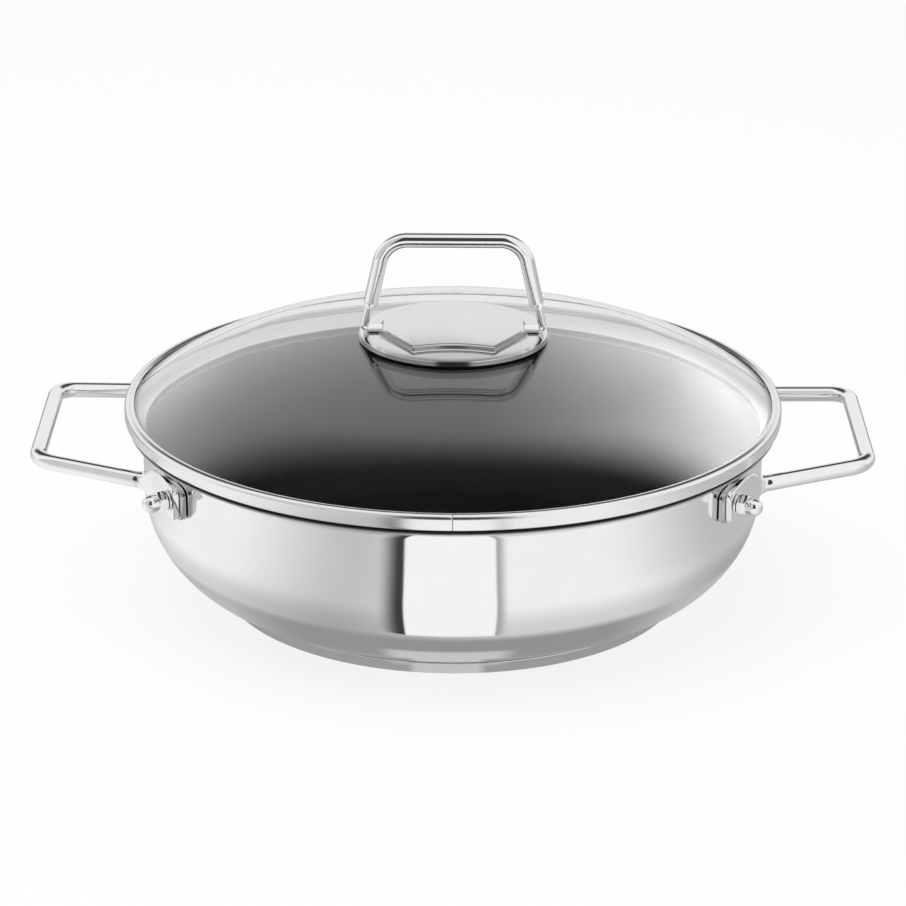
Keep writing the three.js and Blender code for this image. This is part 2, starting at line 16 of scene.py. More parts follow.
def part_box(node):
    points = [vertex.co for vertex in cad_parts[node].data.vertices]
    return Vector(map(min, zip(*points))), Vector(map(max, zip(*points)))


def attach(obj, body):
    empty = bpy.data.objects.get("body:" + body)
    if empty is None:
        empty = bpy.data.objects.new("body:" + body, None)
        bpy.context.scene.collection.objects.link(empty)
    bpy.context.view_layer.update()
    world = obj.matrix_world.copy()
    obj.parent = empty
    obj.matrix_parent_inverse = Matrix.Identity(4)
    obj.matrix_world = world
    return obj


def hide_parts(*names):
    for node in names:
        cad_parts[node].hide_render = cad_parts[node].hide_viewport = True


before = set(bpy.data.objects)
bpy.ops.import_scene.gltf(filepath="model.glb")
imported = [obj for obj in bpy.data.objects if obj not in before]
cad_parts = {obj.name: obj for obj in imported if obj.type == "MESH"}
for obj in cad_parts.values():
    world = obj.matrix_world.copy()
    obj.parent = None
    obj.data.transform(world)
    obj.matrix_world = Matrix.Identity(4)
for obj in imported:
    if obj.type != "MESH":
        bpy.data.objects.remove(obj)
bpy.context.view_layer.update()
MM = 0.001

# %% [markdown]
# ## Camera
# The photograph was taken with a long lens, from a little above. Its angle and distance come from the
# ellipses of the rim and the base, which are round in reality. The small shift sets the pot where the
# photograph has it, and the small roll levels the two side handles as there.

# %% Camera
CAMERA_ELEVATION = math.radians(21.2)
CAMERA_DISTANCE = 1.6
CAMERA_LENS = 143.4  # mm, as the sensor
CAMERA_SENSOR = 36
CAMERA_ROLL = math.radians(0.32)
AIM = Vector((0, 0, 0.05))
AIM_PIXEL = (452.6, 476.5)  # where the photograph has that point
FRAME_PIXELS = 906

camera_away = Vector((0, -math.cos(CAMERA_ELEVATION), math.sin(CAMERA_ELEVATION)))
tilt = Matrix.Rotation(math.pi / 2 - CAMERA_ELEVATION, 3, "X")
bpy.ops.object.select_all(action="DESELECT")
bpy.ops.object.camera_add(location=AIM + CAMERA_DISTANCE * camera_away)
camera = bpy.context.object
camera.rotation_euler = (tilt @ Matrix.Rotation(CAMERA_ROLL, 3, "Z")).to_euler()
camera.data.sensor_width = CAMERA_SENSOR
camera.data.lens = CAMERA_LENS
camera.data.shift_x = (FRAME_PIXELS / 2 - AIM_PIXEL[0]) / FRAME_PIXELS
camera.data.shift_y = (AIM_PIXEL[1] - FRAME_PIXELS / 2) / FRAME_PIXELS
bpy.context.scene.camera = camera
print("camera at", [round(v, 3) for v in camera.location])

# %% [markdown]
# ## Pieces that a lathe would turn
# The shell, the base, the glass and the rim are all round about one axis. On a bench they are spun or
# rolled, and Blender has the same idea: draw half of the section as a line of points, then spin that
# line once round the axis. Ready-made cylinders would give sharp edges and no lips, so they are not
# used. The line is drawn by extruding a single point from place to place, in millimetres.

# %% Draw a line of points
def arc(r, z, radius, start, stop, steps=8):
    """Points on an arc in the half section, angles in degrees."""
    angles = [math.radians(start + (stop - start) * i / steps) for i in range(steps + 1)]
    return [(r + radius * math.cos(angle), z + radius * math.sin(angle)) for angle in angles]


def draw(name, places):
    """A new piece, left in edit mode: one point, extruded along the given places in mm."""
    bpy.ops.object.select_all(action="DESELECT")
    bpy.ops.mesh.primitive_plane_add(size=MM)
    piece = bpy.context.object
    piece.name = piece.data.name = name
    bpy.ops.object.mode_set(mode="EDIT")
    bpy.ops.mesh.select_mode(type="VERT")
    bpy.ops.mesh.merge(type="CENTER")
    here = Vector()
    for number, place in enumerate(places):
        step = Vector(place) * MM - here
        if number == 0:
            bpy.ops.transform.translate(value=step)
        elif step.length > 0:
            bpy.ops.mesh.extrude_vertices_move(TRANSFORM_OT_translate={"value": step})
        here += step
    return piece


# %% Spin it round the axis
WELD = 0.002 * MM  # points closer than this are one point
SMOOTH_ANGLE = math.radians(32)
WIDE_STEPS = 160  # facets round a piece as wide as the pot


def weld():
    """Joins doubled points and turns all faces outwards, in edit mode."""
    bpy.ops.mesh.select_all(action="SELECT")
    bpy.ops.mesh.remove_doubles(threshold=WELD)
    bpy.ops.mesh.normals_make_consistent(inside=False)


def finish_mesh():
    """Leaves edit mode with smooth rounds and crisp edges."""
    bpy.ops.object.mode_set(mode="OBJECT")
    bpy.ops.object.shade_smooth_by_angle(angle=SMOOTH_ANGLE)


def spin(steps, angle=2 * math.pi):
    """Spins all that is drawn about the pot's axis, in edit mode."""
    bpy.ops.mesh.select_all(action="SELECT")
    bpy.ops.mesh.spin(steps=steps, angle=angle, center=(0, 0, 0), axis=(0, 0, 1))


def turned(name, outline, steps=WIDE_STEPS, closed=True):
    """A piece spun from a half section of (radius, height) points."""
    corners = list(outline) + ([outline[0]] if closed else [])
    piece = draw(name, [(r, 0, z) for r, z in corners])
    spin(steps)
    weld()
    finish_mesh()
    return piece


# %% Seat a piece on its body
worn = {}  # finish: the pieces that wear it


def seat(piece, body, finish, node):
    """Puts a piece in the place of its CAD node and notes its finish."""
    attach(piece, body)
    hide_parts(node)
    worn.setdefault(finish, []).append(piece)
    low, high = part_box(node)
    spots = [piece.matrix_world @ v.co for v in piece.data.vertices]
    past = max(max(s[k] - high[k], low[k] - s[k]) for s in spots for k in range(3))
    print(f"{piece.name}: {len(piece.data.polygons)} faces, {past / MM:+.2f} mm past its node's box")


# %% [markdown]
# ## Pot shell
# The shell is one sheet of steel, pressed into a bowl with a flat bottom, a wide round turn, an upright
# wall and a lip that flares out to pour from. The outline runs up the outside, over the rounded edge of
# the lip and back down the inside. Lip and bottom come from the box of the CAD node.

# %% Pot shell
def node_box(node):
    """Lowest and highest corner of a CAD node, in mm."""
    return [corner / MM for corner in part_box(node)]


shell_low, shell_high = node_box("pot_body")
SHEET = 1.0
TURN = 48.0  # outside radius between wall and bottom
LIP_BEND = 5.0  # radius under the flare
LIP_LAND = 1.3  # level end of the flare
lip_radius = shell_high.x
lip_top = shell_high.z
bottom = shell_low.z
wall = lip_radius - LIP_LAND - LIP_BEND
flare = wall + LIP_BEND  # middle of the flare's arc
lip_start = lip_top - SHEET - LIP_BEND


def shell_line(depth, top):
    """The bowl at a depth inside its outer face, from the axis up to a height."""
    turn = arc(wall - TURN, bottom + TURN, TURN - depth, -90, 0, steps=32)
    return [(0, bottom + depth), *turn, (wall - depth, top)]


lip_edge = SHEET / 2
seat(
    turned("pot_shell", [
        *shell_line(0, lip_start),
        *arc(flare, lip_start, LIP_BEND, 180, 90, steps=10),
        *arc(lip_radius - lip_edge, lip_top - lip_edge, lip_edge, -90, 90, steps=8),
        *arc(flare, lip_start, LIP_BEND + SHEET, 90, 180, steps=12),
        *reversed(shell_line(SHEET, lip_start)),
    ], closed=False),
    "pot", "shell steel", "pot_body",
)

# %% [markdown]
# ## Nonstick lining
# The coating is sprayed on, so it follows the inside of the shell and stops just under the flare, where
# a ring of bare steel stays. It is a thin bowl of its own, which keeps the two finishes apart.

# %% Nonstick lining
COATING = 0.4
FIT = 0.3  # gap between pieces that touch
lining_top = node_box("nonstick_lining")[1].z
coat_face = SHEET + FIT
seat(
    turned("lining", [
        *shell_line(coat_face, lining_top),
        *reversed(shell_line(coat_face + COATING, lining_top)),
    ], closed=False),
    "pot", "nonstick", "nonstick_lining",
)

# %% [markdown]
# ## Sandwich base
# Under the shell lies an aluminium disc, and a steel cap wraps it. The dark line between cap and shell
# is a real gap, so it is left as one. The cap's foot is rounded, and its underside is turned a hair
# hollow, as such bases are, so that the pot stands on its outer ring. The disc inside is out of sight
# and keeps its CAD shape.

# %% Base cap
CAP_SHEET = 0.8
CAP_FLARE = 1.8  # how far the cap's side leans out
CAP_FOOT = 1.2  # rounding at the foot of the side
CAP_HOLLOW = 0.25  # how far the middle of the underside stands off the table
CAP_RING = 14.0  # width of the ring it stands on
CAP_EDGE = 0.3  # rounding at the top of the side
cap_high = node_box("base_cap")[1]
cap_foot = cap_high.x - CAP_FLARE
seat(
    turned("base_disc", [
        (0, CAP_HOLLOW),
        (cap_foot - 2 * CAP_RING, CAP_HOLLOW),
        (cap_foot - CAP_RING, 0),
        *arc(cap_foot - CAP_FOOT, CAP_FOOT, CAP_FOOT, -90, 0, steps=6),
        *arc(cap_high.x - CAP_EDGE, cap_high.z - CAP_EDGE, CAP_EDGE, 0, 90, steps=4),
        (cap_high.x - CAP_SHEET, cap_high.z),
        (cap_foot - CAP_SHEET, CAP_SHEET + CAP_HOLLOW),
        (0, CAP_SHEET + CAP_HOLLOW),
    ], closed=False),
    "pot", "base steel", "base_cap",
)
worn["aluminium"] = [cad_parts["base_core"]]

# %% [markdown]
# ## Bent wire
# All three handles are round wire, bent, with ends that a press has flattened. A curve with a bevel
# would stay round to its ends, so the wire starts as a straight rod: a circle, extruded ring by ring.
# One function then does what press and bender do. It takes each ring to its place on the bent line and
# gives it the section that the wire has there, from round to flat with rounded edges. No operator
# changes a circle to such a section, so this step moves the points in code.

# %% Walk along a bent line
LEAST_IN_BEND = 4  # steps round the tightest bend
FINER_IN_BEND = 2  # times as many steps as on a straight run


def bent_line(corners, spacing):
    """Places and headings along straight runs, each corner rounded by its own radius, in mm."""
    stops = [(corners[0][0], (corners[1][0] - corners[0][0]).normalized())]

    def run_to(end):
        start, heading = stops[-1][0], (end - stops[-1][0]).normalized()
        count = max(1, round((end - start).length / spacing))
        stops.extend((start.lerp(end, i / count), heading) for i in range(1, count + 1))

    for number in range(1, len(corners)):
        corner, bend = corners[number]
        if not bend:
            run_to(corner)
            continue
        heading = (corner - corners[number - 1][0]).normalized()
        leaving = (corners[number + 1][0] - corner).normalized()
        turn = heading.angle(leaving)
        entry = corner - heading * bend * math.tan(turn / 2)
        run_to(entry)
        axis = heading.cross(leaving).normalized()
        middle = entry + axis.cross(heading) * bend
        count = max(LEAST_IN_BEND, round(FINER_IN_BEND * bend * turn / spacing))
        for i in range(1, count + 1):
            swing = Matrix.Rotation(turn * i / count, 3, axis)
            stops.append((middle + swing @ (entry - middle), swing @ heading))
    return stops


# %% Press and bend a rod
WIRE_SIDES = 32
RING_SLACK = 0.05  # mm, less than the distance between two rings


def smooth_step(value, start, stop):
    """0 before start, 1 after stop, and smooth between them."""
    share = min(1, max(0, (value - start) / (stop - start)))
    return share * share * (3 - 2 * share)


def blend(first, second, share):
    """Between two sizes, by a share from 0 to 1."""
    return first + (second - first) * share


def corner_place(half, corner, direction):
    """One coordinate of a section with round corners, for a direction of the rod's circle."""
    return math.copysign(half - corner, direction) + corner * direction


def wire(name, stops, across, section):
    """A rod along the stops. section(run) gives half thickness, half width, corner and offset."""
    travelled = [0.0]
    for (before, _), (after, _) in zip(stops, stops[1:]):
        travelled.append(travelled[-1] + (after - before).length)
    bpy.ops.object.select_all(action="DESELECT")
    bpy.ops.mesh.primitive_circle_add(vertices=WIRE_SIDES, radius=1)
    rod = bpy.context.object
    rod.name = rod.data.name = name
    bpy.ops.object.mode_set(mode="EDIT")
    bpy.ops.mesh.select_all(action="SELECT")
    bpy.ops.transform.rotate(value=math.pi / WIRE_SIDES, orient_axis="Z", center_override=(0, 0, 0))
    for before, after in zip(travelled, travelled[1:]):
        bpy.ops.mesh.extrude_edges_move(TRANSFORM_OT_translate={"value": (0, 0, after - before)})
    bpy.ops.mesh.select_all(action="SELECT")
    bpy.ops.mesh.fill_holes(sides=0)
    bpy.ops.object.mode_set(mode="OBJECT")
    for vertex in rod.data.vertices:
        number = bisect.bisect_left(travelled, vertex.co.z - RING_SLACK)
        place, heading = stops[number]
        thick, wide, corner, aside = section(min(travelled[number], travelled[-1] - travelled[number]))
        side = heading.cross(across).normalized()
        u = corner_place(thick, corner, vertex.co.x) + aside
        v = corner_place(wide, corner, vertex.co.y)
        vertex.co = (place + side * u + across * v) * MM
    bpy.ops.object.mode_set(mode="EDIT")
    weld()
    finish_mesh()
    return rod


# %% [markdown]
# ## Side handles
# Each side handle starts with a flat on its bracket, climbs a little along the wall, turns out into an
# arm, crosses over as the grip and comes back the same way. The right one is modelled and the left one
# is its copy, turned half round the pot.

# %% Line of the right handle
ROD = 6.9
BOLT_AZIMUTH = math.radians(32.3)
BOLT_LEVEL = 67.9
FLAT_HEIGHT = 14.4
FLAT_THICKNESS = 2.7
FLAT_TAIL = 4.8  # from the bolt to the end of the flat
FLAT_CORNER = 2.4
FLAT_EDGE = 0.8
FLAT_RISE = 0.26  # how fast the flat climbs
FLAT_PEAK = 9.0  # from the bolt to where it stops climbing
FLAT_PEAK_BEND = 25.0
SWAGE_BEFORE = 9.0  # the flat starts to turn round this far before the arm's bend
SWAGE_AFTER = 5.0  # and is round wire this far after it
ARM_LEVEL = 69.1
ARM_SPREAD = 55.4  # half the distance between the arms at the wall
ARM_LEAN = 0.2564  # how fast the arms close up outwards
GRIP_LEVEL = 73.9
GRIP_BEND = 11.0
END_BEND = 6.0
RING_SPACING = 0.5
BRACKET_THICKNESS = 2.6
bracket_face = wall + FIT
flat_middle = bracket_face + BRACKET_THICKNESS + FIT + FLAT_THICKNESS / 2
grip_reach = node_box("right_handle")[1].x - ROD / 2

tangent = Vector((math.sin(BOLT_AZIMUTH), math.cos(BOLT_AZIMUTH)))
bolt = flat_middle * Vector((math.cos(BOLT_AZIMUTH), -math.sin(BOLT_AZIMUTH)))
flat_reach = (-ARM_SPREAD + ARM_LEAN * (bolt.x - wall) - bolt.y) / (tangent.y - ARM_LEAN * tangent.x)


def along_flat(run, level):
    """A place on the flat's line, by its distance from the bolt and its level."""
    return (bolt + run * tangent).to_3d() + Vector((0, 0, level))


grip_side = ARM_SPREAD - ARM_LEAN * (grip_reach - wall)
half_handle = [
    (along_flat(-FLAT_TAIL, BOLT_LEVEL - FLAT_RISE * FLAT_TAIL), 0),
    (along_flat(FLAT_PEAK, BOLT_LEVEL + FLAT_RISE * FLAT_PEAK), FLAT_PEAK_BEND),
    (along_flat(flat_reach, ARM_LEVEL), END_BEND),
    (Vector((grip_reach, -grip_side, GRIP_LEVEL)), GRIP_BEND),
]
other_half = [(place * Vector((1, -1, 1)), bend) for place, bend in reversed(half_handle)]
handle_stops = bent_line(half_handle + other_half, RING_SPACING)
print("right handle:", len(handle_stops), "rings")


# %% Right handle
def handle_section(run):
    """The wire's section at a distance from its nearer end."""
    elbow_run = FLAT_TAIL + flat_reach
    round_share = smooth_step(run, elbow_run - SWAGE_BEFORE, elbow_run + SWAGE_AFTER)
    short = max(0, FLAT_CORNER - run)
    upright = FLAT_HEIGHT / 2 - FLAT_CORNER + math.sqrt(FLAT_CORNER**2 - short**2)
    thick = blend(FLAT_THICKNESS / 2, ROD / 2, round_share)
    wide = blend(upright, ROD / 2, round_share)
    return thick, wide, blend(FLAT_EDGE, ROD / 2, round_share), 0


UP = Vector((0, 0, 1))
handles = {"right": wire("right_bow", handle_stops, UP, handle_section)}

# %% [markdown]
# Where an arm leaves its flat, the photograph shows two small marks, one above the other: the press has
# pinched the wire there. A dent is made as a smith would make it: the nearest point is pushed in, and
# proportional editing takes the points around it along, less and less with distance.

# %% Pinch marks
PINCH_AT = Vector((134.6, -61.0))  # in front of the right handle's front arm
PINCH_LEVELS = (71.0, 66.9)
PINCH_SIZE = 2.3
PINCH_DEPTH = 0.55


def pick(piece):
    """Makes a piece the only one that is selected."""
    bpy.ops.object.select_all(action="DESELECT")
    piece.select_set(True)
    bpy.context.view_layer.objects.active = piece


def edit(piece):
    """Opens a piece in edit mode."""
    pick(piece)
    bpy.ops.object.mode_set(mode="EDIT")


def dent(piece, spot, push, size):
    """Pushes in the surface round the point of a piece that is nearest to a spot, in mm."""
    nearest = min(piece.data.vertices, key=lambda v: (v.co / MM - spot).length).index
    edit(piece)
    bpy.ops.mesh.select_mode(type="VERT")
    bpy.ops.mesh.select_all(action="DESELECT")
    bpy.ops.object.mode_set(mode="OBJECT")
    piece.data.vertices[nearest].select = True
    bpy.ops.object.mode_set(mode="EDIT")
    bpy.ops.transform.translate(
        value=push * MM, use_proportional_edit=True, proportional_size=size * MM,
        proportional_edit_falloff="SMOOTH", use_proportional_connected=True)
    bpy.ops.object.mode_set(mode="OBJECT")


for level in PINCH_LEVELS:
    for end in (1, -1):
        spot = Vector((PINCH_AT.x, end * PINCH_AT.y, level))
        dent(handles["right"], spot, Vector((0, end * PINCH_DEPTH, 0)), PINCH_SIZE)
print("pinch marks:", 2 * len(PINCH_LEVELS), "on each handle")


# %% Left handle
def settle():
    """Writes the place, turn and scale of what is selected into its mesh."""
    bpy.ops.object.transform_apply(location=True, rotation=True, scale=True)


def copy_turned(piece, name, angle):
    """A copy with a mesh of its own, turned about the pot's axis."""
    pick(piece)
    bpy.ops.object.duplicate()
    twin = bpy.context.object
    twin.name = twin.data.name = name
    twin.rotation_euler.z = angle
    settle()
    return twin


handles["left"] = copy_turned(handles["right"], "left_bow", math.pi)
for side, piece in handles.items():
    seat(piece, "pot", "wire steel", f"{side}_handle")

# %% [markdown]
# ## Handle fixings
# A bracket of plain steel is welded to the wall behind each flat. Its colour is darker than the rest of the
# steel, which is painted shade between the flat and the wall. A stud stands on it, and washer and cap nut
# hold the flat against it. Each is modelled once, with the pot's radius along X, and copied to the four
# bolts. The nut could be cut from a hexagon with a cone, but where the two only touch, a cut leaves
# slivers. So a round blank is turned, dome and all, and the points of its rim are moved in to six flats,
# one corner pointing down. The studs are hidden in their nuts and keep their CAD shape.

# %% Bracket
BRACKET_LENGTH = 17.0
BRACKET_HEIGHT = 13.6
BRACKET_DROP = 0.8  # its middle below the bolt
BRACKET_CORNER = 3.0
BRACKET_PAST = 1.0  # it stands out past the flat's end
EDGE_BREAK = 0.25  # rounding on edges that a tool has broken


def block(name, size, middle):
    """A block of a size, set about its middle, in mm."""
    bpy.ops.object.select_all(action="DESELECT")
    bpy.ops.mesh.primitive_cube_add(size=MM, location=Vector(middle) * MM)
    piece = bpy.context.object
    piece.name = piece.data.name = name
    piece.scale = size
    settle()
    return piece


def select_edges(piece, wanted):
    """Selects the edges whose two ends satisfy the test, in edit mode."""
    bpy.ops.mesh.select_mode(type="EDGE")
    bpy.ops.mesh.select_all(action="DESELECT")
    bpy.ops.object.mode_set(mode="OBJECT")
    for edge in piece.data.edges:
        edge.select = wanted(*(piece.data.vertices[i].co for i in edge.vertices))
    bpy.ops.object.mode_set(mode="EDIT")


bracket_far = FLAT_TAIL + BRACKET_PAST
plate = block("bracket", (BRACKET_THICKNESS, BRACKET_LENGTH, BRACKET_HEIGHT), (
    bracket_face + BRACKET_THICKNESS / 2,
    bracket_far - BRACKET_LENGTH / 2,
    BOLT_LEVEL - BRACKET_DROP,
))
edit(plate)
select_edges(plate, lambda a, b: abs(a.x - b.x) > MM)
bpy.ops.mesh.bevel(offset=BRACKET_CORNER * MM, segments=6)
select_edges(plate, lambda a, b: abs(a.x - b.x) < WELD)
bpy.ops.mesh.bevel(offset=EDGE_BREAK * MM, segments=2)
weld()
finish_mesh()
for vertex in plate.data.vertices:
    vertex.co.z -= FLAT_RISE * vertex.co.y
print("bracket:", len(plate.data.polygons), "faces")

# %% Washer
STUD = 5.0
WASHER = 9.4
WASHER_THICKNESS = 1.0
SMALL_STEPS = 48  # facets round a washer or a nut
stud_hole = STUD / 2 + FIT
washer = turned("washer", [
    (stud_hole, 0),
    *arc(WASHER / 2 - EDGE_BREAK, EDGE_BREAK, EDGE_BREAK, -90, 0, steps=3),
    *arc(WASHER / 2 - EDGE_BREAK, WASHER_THICKNESS - EDGE_BREAK, EDGE_BREAK, 0, 90, steps=3),
    (stud_hole, WASHER_THICKNESS),
], SMALL_STEPS)
print("washer:", len(washer.data.polygons), "faces")

# %% Blank of the cap nut
NUT_ACROSS = 8.2
NUT_HEX = 4.0
NUT_DOME = 7.6
NUT_HEIGHT = 10.2
NUT_CHAMFER = math.radians(36)
HALF_SIDE = math.pi / 6  # half the angle that one side of a hexagon takes
nut_half = NUT_ACROSS / 2
nut_corner = nut_half / math.cos(HALF_SIDE)
chamfer = (nut_corner - nut_half) * math.tan(NUT_CHAMFER)
dome_radius = NUT_DOME / 2
nut = turned("cap_nut", [
    (0, 0), (nut_half, 0), (nut_corner, chamfer),
    (nut_corner, NUT_HEX - chamfer), (nut_half, NUT_HEX), (dome_radius, NUT_HEX),
    *arc(0, NUT_HEIGHT - dome_radius, dome_radius, 0, 90, steps=12),
], SMALL_STEPS, closed=False)
print("blank:", round(2 * nut_corner, 2), "mm across")

# %% Six flats of the cap nut
for vertex in nut.data.vertices:
    across = vertex.co.xy.length / MM
    if across > (nut_half + nut_corner) / 2:
        from_side = math.atan2(vertex.co.y, vertex.co.x) % (2 * HALF_SIDE) - HALF_SIDE
        flat = nut_half / math.cos(from_side)
        rise = (flat - nut_half) * math.tan(NUT_CHAMFER)
        level = rise if vertex.co.z < NUT_HEX / 2 * MM else NUT_HEX - rise
        share = flat / across
        vertex.co = (vertex.co.x * share, vertex.co.y * share, level * MM)
edit(nut)
weld()
finish_mesh()
print("cap nut:", len(nut.data.polygons), "faces")

# %% Fixings at the four bolts
flat_face = flat_middle + FLAT_THICKNESS / 2
washer_face = flat_face + FIT
nut_face = washer_face + WASHER_THICKNESS + FIT
for piece, face in ((washer, washer_face), (nut, nut_face)):
    pick(piece)
    piece.rotation_euler.y = math.pi / 2
    piece.location = (face * MM, 0, BOLT_LEVEL * MM)
    settle()

rear_plate = copy_turned(plate, "rear_bracket", 0)
for vertex in rear_plate.data.vertices:
    vertex.co.y = -vertex.co.y
edit(rear_plate)
weld()
finish_mesh()

for side, turn in (("right", 0), ("left", math.pi)):
    for end, bracket in ((-1, rear_plate), (1, plate)):
        place = "front" if (end < 0) == (turn == 0) else "rear"
        angle = turn + end * BOLT_AZIMUTH
        for model, kind, look in (
            (bracket, "bracket", "pressed steel in shade"),
            (washer, "washer", "fixing steel"),
            (nut, "cap_nut", "fixing steel"),
        ):
            node = f"{side}_{place}_{kind}"
            seat(copy_turned(model, node + "_piece", angle), "pot", look, node)
        worn["fixing steel"].append(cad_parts[f"{side}_{place}_stud"])
for model in (plate, rear_plate, washer, nut):
    bpy.data.objects.remove(model)

# %% [markdown]
# ## Lid glass
# The lid is a sheet of tempered glass, slumped to a dome: a flat crown and a rounder knee near the rim.
# Both faces are parallel, and the rim hides the edge. A single surface would not bend light, so the glass
# is spun as a closed ring with a hole for the screw, and light is bent on its way in and on its way out.

# %% Lid glass
GLASS = 4.0
CROWN = 440.0  # radius of the top of the dome
KNEE_AT = 96.0  # from the axis to where the crown turns down
KNEE = 128.0  # radius of the dome outside the knee
GLASS_HOLE = 5.0  # radius
glass_high = node_box("lid_glass")[1]
glass_edge = glass_high.x
knee_angle = math.asin(KNEE_AT / CROWN)
knee_middle = KNEE_AT - KNEE * math.sin(knee_angle)
knee_level = -CROWN + (CROWN - KNEE) * math.cos(knee_angle)  # below the top of the dome
edge_angle = math.asin((glass_edge - knee_middle) / KNEE)
hole_angle = math.asin(GLASS_HOLE / CROWN)
glass_top = glass_high.z + CROWN * (1 - math.cos(hole_angle))


def glass_line(depth):
    """One face of the glass from the hole to the edge, at a depth below the upper face."""
    crown = CROWN - depth
    hole = math.degrees(math.asin(GLASS_HOLE / crown))
    knee, edge = math.degrees(knee_angle), math.degrees(edge_angle)
    return [
        *arc(0, glass_top - CROWN, crown, 90 - hole, 90 - knee, steps=20),
        *arc(knee_middle, glass_top + knee_level, KNEE - depth, 90 - knee, 90 - edge, steps=16),
    ]


seat(
    turned("glass_dome", [*glass_line(GLASS), *reversed(glass_line(0))]),
    "lid", "clear glass", "lid_glass",
)

# %% [markdown]
# ## Lid rim
# The rim is a strip of steel, rolled round the edge of the glass with a bead on top and a skirt below
# that drops into the pot. Its two ends meet at the front, where the photograph shows a fine upright
# seam. So the strip is spun not quite all the way round, its ends are closed, and their edges are
# rounded, which leaves the seam as a real groove.

# %% Section of the rim
RIM_SHEET = 0.8
BEAD = 2.4
RIM_FOOT = 1.8
SKIRT_LENGTH = 1.6
SKIRT_PLAY = 0.5
rim_low, rim_high = node_box("lid_rim")
rim_radius = rim_high.x
bead_middle = rim_radius - BEAD
bead_level = rim_high.z - BEAD
skirt_bottom = rim_low.z
skirt_outside = wall - SHEET - SKIRT_PLAY
skirt_inside = skirt_outside - RIM_SHEET
slope_outside = skirt_bottom + SKIRT_LENGTH - skirt_outside  # height less radius on the slope
slope_inside = slope_outside + RIM_SHEET * math.sqrt(2)
RIM_LIFT = 1.4  # from the lip up to the rim
rim_bottom = lip_top + RIM_LIFT
rim_floor = rim_bottom + RIM_SHEET
foot_middle = rim_radius - RIM_FOOT
foot_level = rim_bottom + RIM_FOOT
rim_section = [
    (skirt_inside, skirt_bottom),
    (skirt_outside, skirt_bottom),
    (skirt_outside, skirt_outside + slope_outside),
    (rim_bottom - slope_outside, rim_bottom),
    *arc(foot_middle, foot_level, RIM_FOOT, -90, 0, steps=8),
    *arc(bead_middle, bead_level, BEAD, 0, 135, steps=14),
    *arc(bead_middle, bead_level, BEAD - RIM_SHEET, 135, 0, steps=12),
    *arc(foot_middle, foot_level, RIM_FOOT - RIM_SHEET, 0, -90, steps=6),
    (rim_floor - slope_inside, rim_floor),
    (skirt_inside, skirt_inside + slope_inside),
]
print("rim section:", len(rim_section), "points, radius", round(rim_radius, 1))

# %% Rim with its seam
SEAM = 0.2  # groove between the two ends
SEAM_EDGE = 0.35  # rounding of the ends
RIM_STEPS = 192
seam_angle = SEAM / rim_radius
rim = draw("rim", [(r, 0, z) for r, z in [*rim_section, rim_section[0]]])
bpy.ops.mesh.select_all(action="SELECT")
bpy.ops.mesh.remove_doubles(threshold=WELD)
spin(RIM_STEPS, 2 * math.pi - seam_angle)
bpy.ops.mesh.select_all(action="SELECT")
bpy.ops.mesh.fill_holes(sides=0)
weld()
bpy.ops.object.mode_set(mode="OBJECT")
rim.rotation_euler.z = seam_angle / 2 - math.pi / 2
settle()
edit(rim)
half_seam = SEAM / 2 * MM + WELD
select_edges(rim, lambda a, b: max(abs(a.x), abs(b.x)) < half_seam and max(a.y, b.y) < 0)
bpy.ops.mesh.bevel(offset=SEAM_EDGE * MM, segments=3)
weld()
finish_mesh()
seat(rim, "lid", "rim steel", "lid_rim")

# %% [markdown]
# ## Base of the lid handle
# A round steel disc carries the handle. Its middle is pressed up to a hood with eight corners, under
# which the feet of the wire lie, and its edge is turned down towards the glass. The hood starts as a flat
# outline that is filled, inset and raised. Its foot is extruded again and pulled out to a circle, which
# gives the disc, then its slope and its edge, and bevels round the hood above and below. Solidify gives
# the sheet its thickness, and a cutter opens the two mouths where the wire goes in.

# %% Outline of the hood
DISC_SHEET = 0.8
DISC_FALL = 0.7  # from the foot of the hood to the edge of the CAD disc
HOOD_HALF_LENGTH = 32.0
HOOD_END_HALF_WIDTH = 8.5
HOOD_CORNER = (18.0, 31.0)
HOOD_BOW = 4.0  # long edges curve in between the corners
HOOD_DRAFT = 1.6  # slope of the hood's side
HOOD_ROUND = 2.6  # corners seen from above
HOOD_EDGE = 0.9  # rounding along the top and the foot
BOW_STEPS = 12
OUTLINE_SPACING = 1.6
base_low, base_high = node_box("lid_handle_base")
disc_radius = base_high.x
hood_top = base_high.z
disc_shoulder = base_low.z + DISC_SHEET + DISC_FALL

corner_x, corner_y = HOOD_CORNER
shares = [1 - 2 * i / BOW_STEPS for i in range(1, BOW_STEPS)]
bow = [((corner_x * share, corner_y - HOOD_BOW * (1 - share**2)), 0) for share in shares]
half_outline = [
    ((HOOD_HALF_LENGTH, HOOD_END_HALF_WIDTH), HOOD_ROUND),
    (HOOD_CORNER, HOOD_ROUND),
    *bow,
    ((-corner_x, corner_y), HOOD_ROUND),
    ((-HOOD_HALF_LENGTH, HOOD_END_HALF_WIDTH), HOOD_ROUND),
]
start = [((HOOD_HALF_LENGTH, 0), 0)]
corners = start + half_outline + [((-x, -y), bend) for (x, y), bend in half_outline] + start
corner_places = [(Vector((x, y, disc_shoulder)), bend) for (x, y), bend in corners]
hood_line = bent_line(corner_places, OUTLINE_SPACING)
print("hood outline:", len(hood_line), "points")

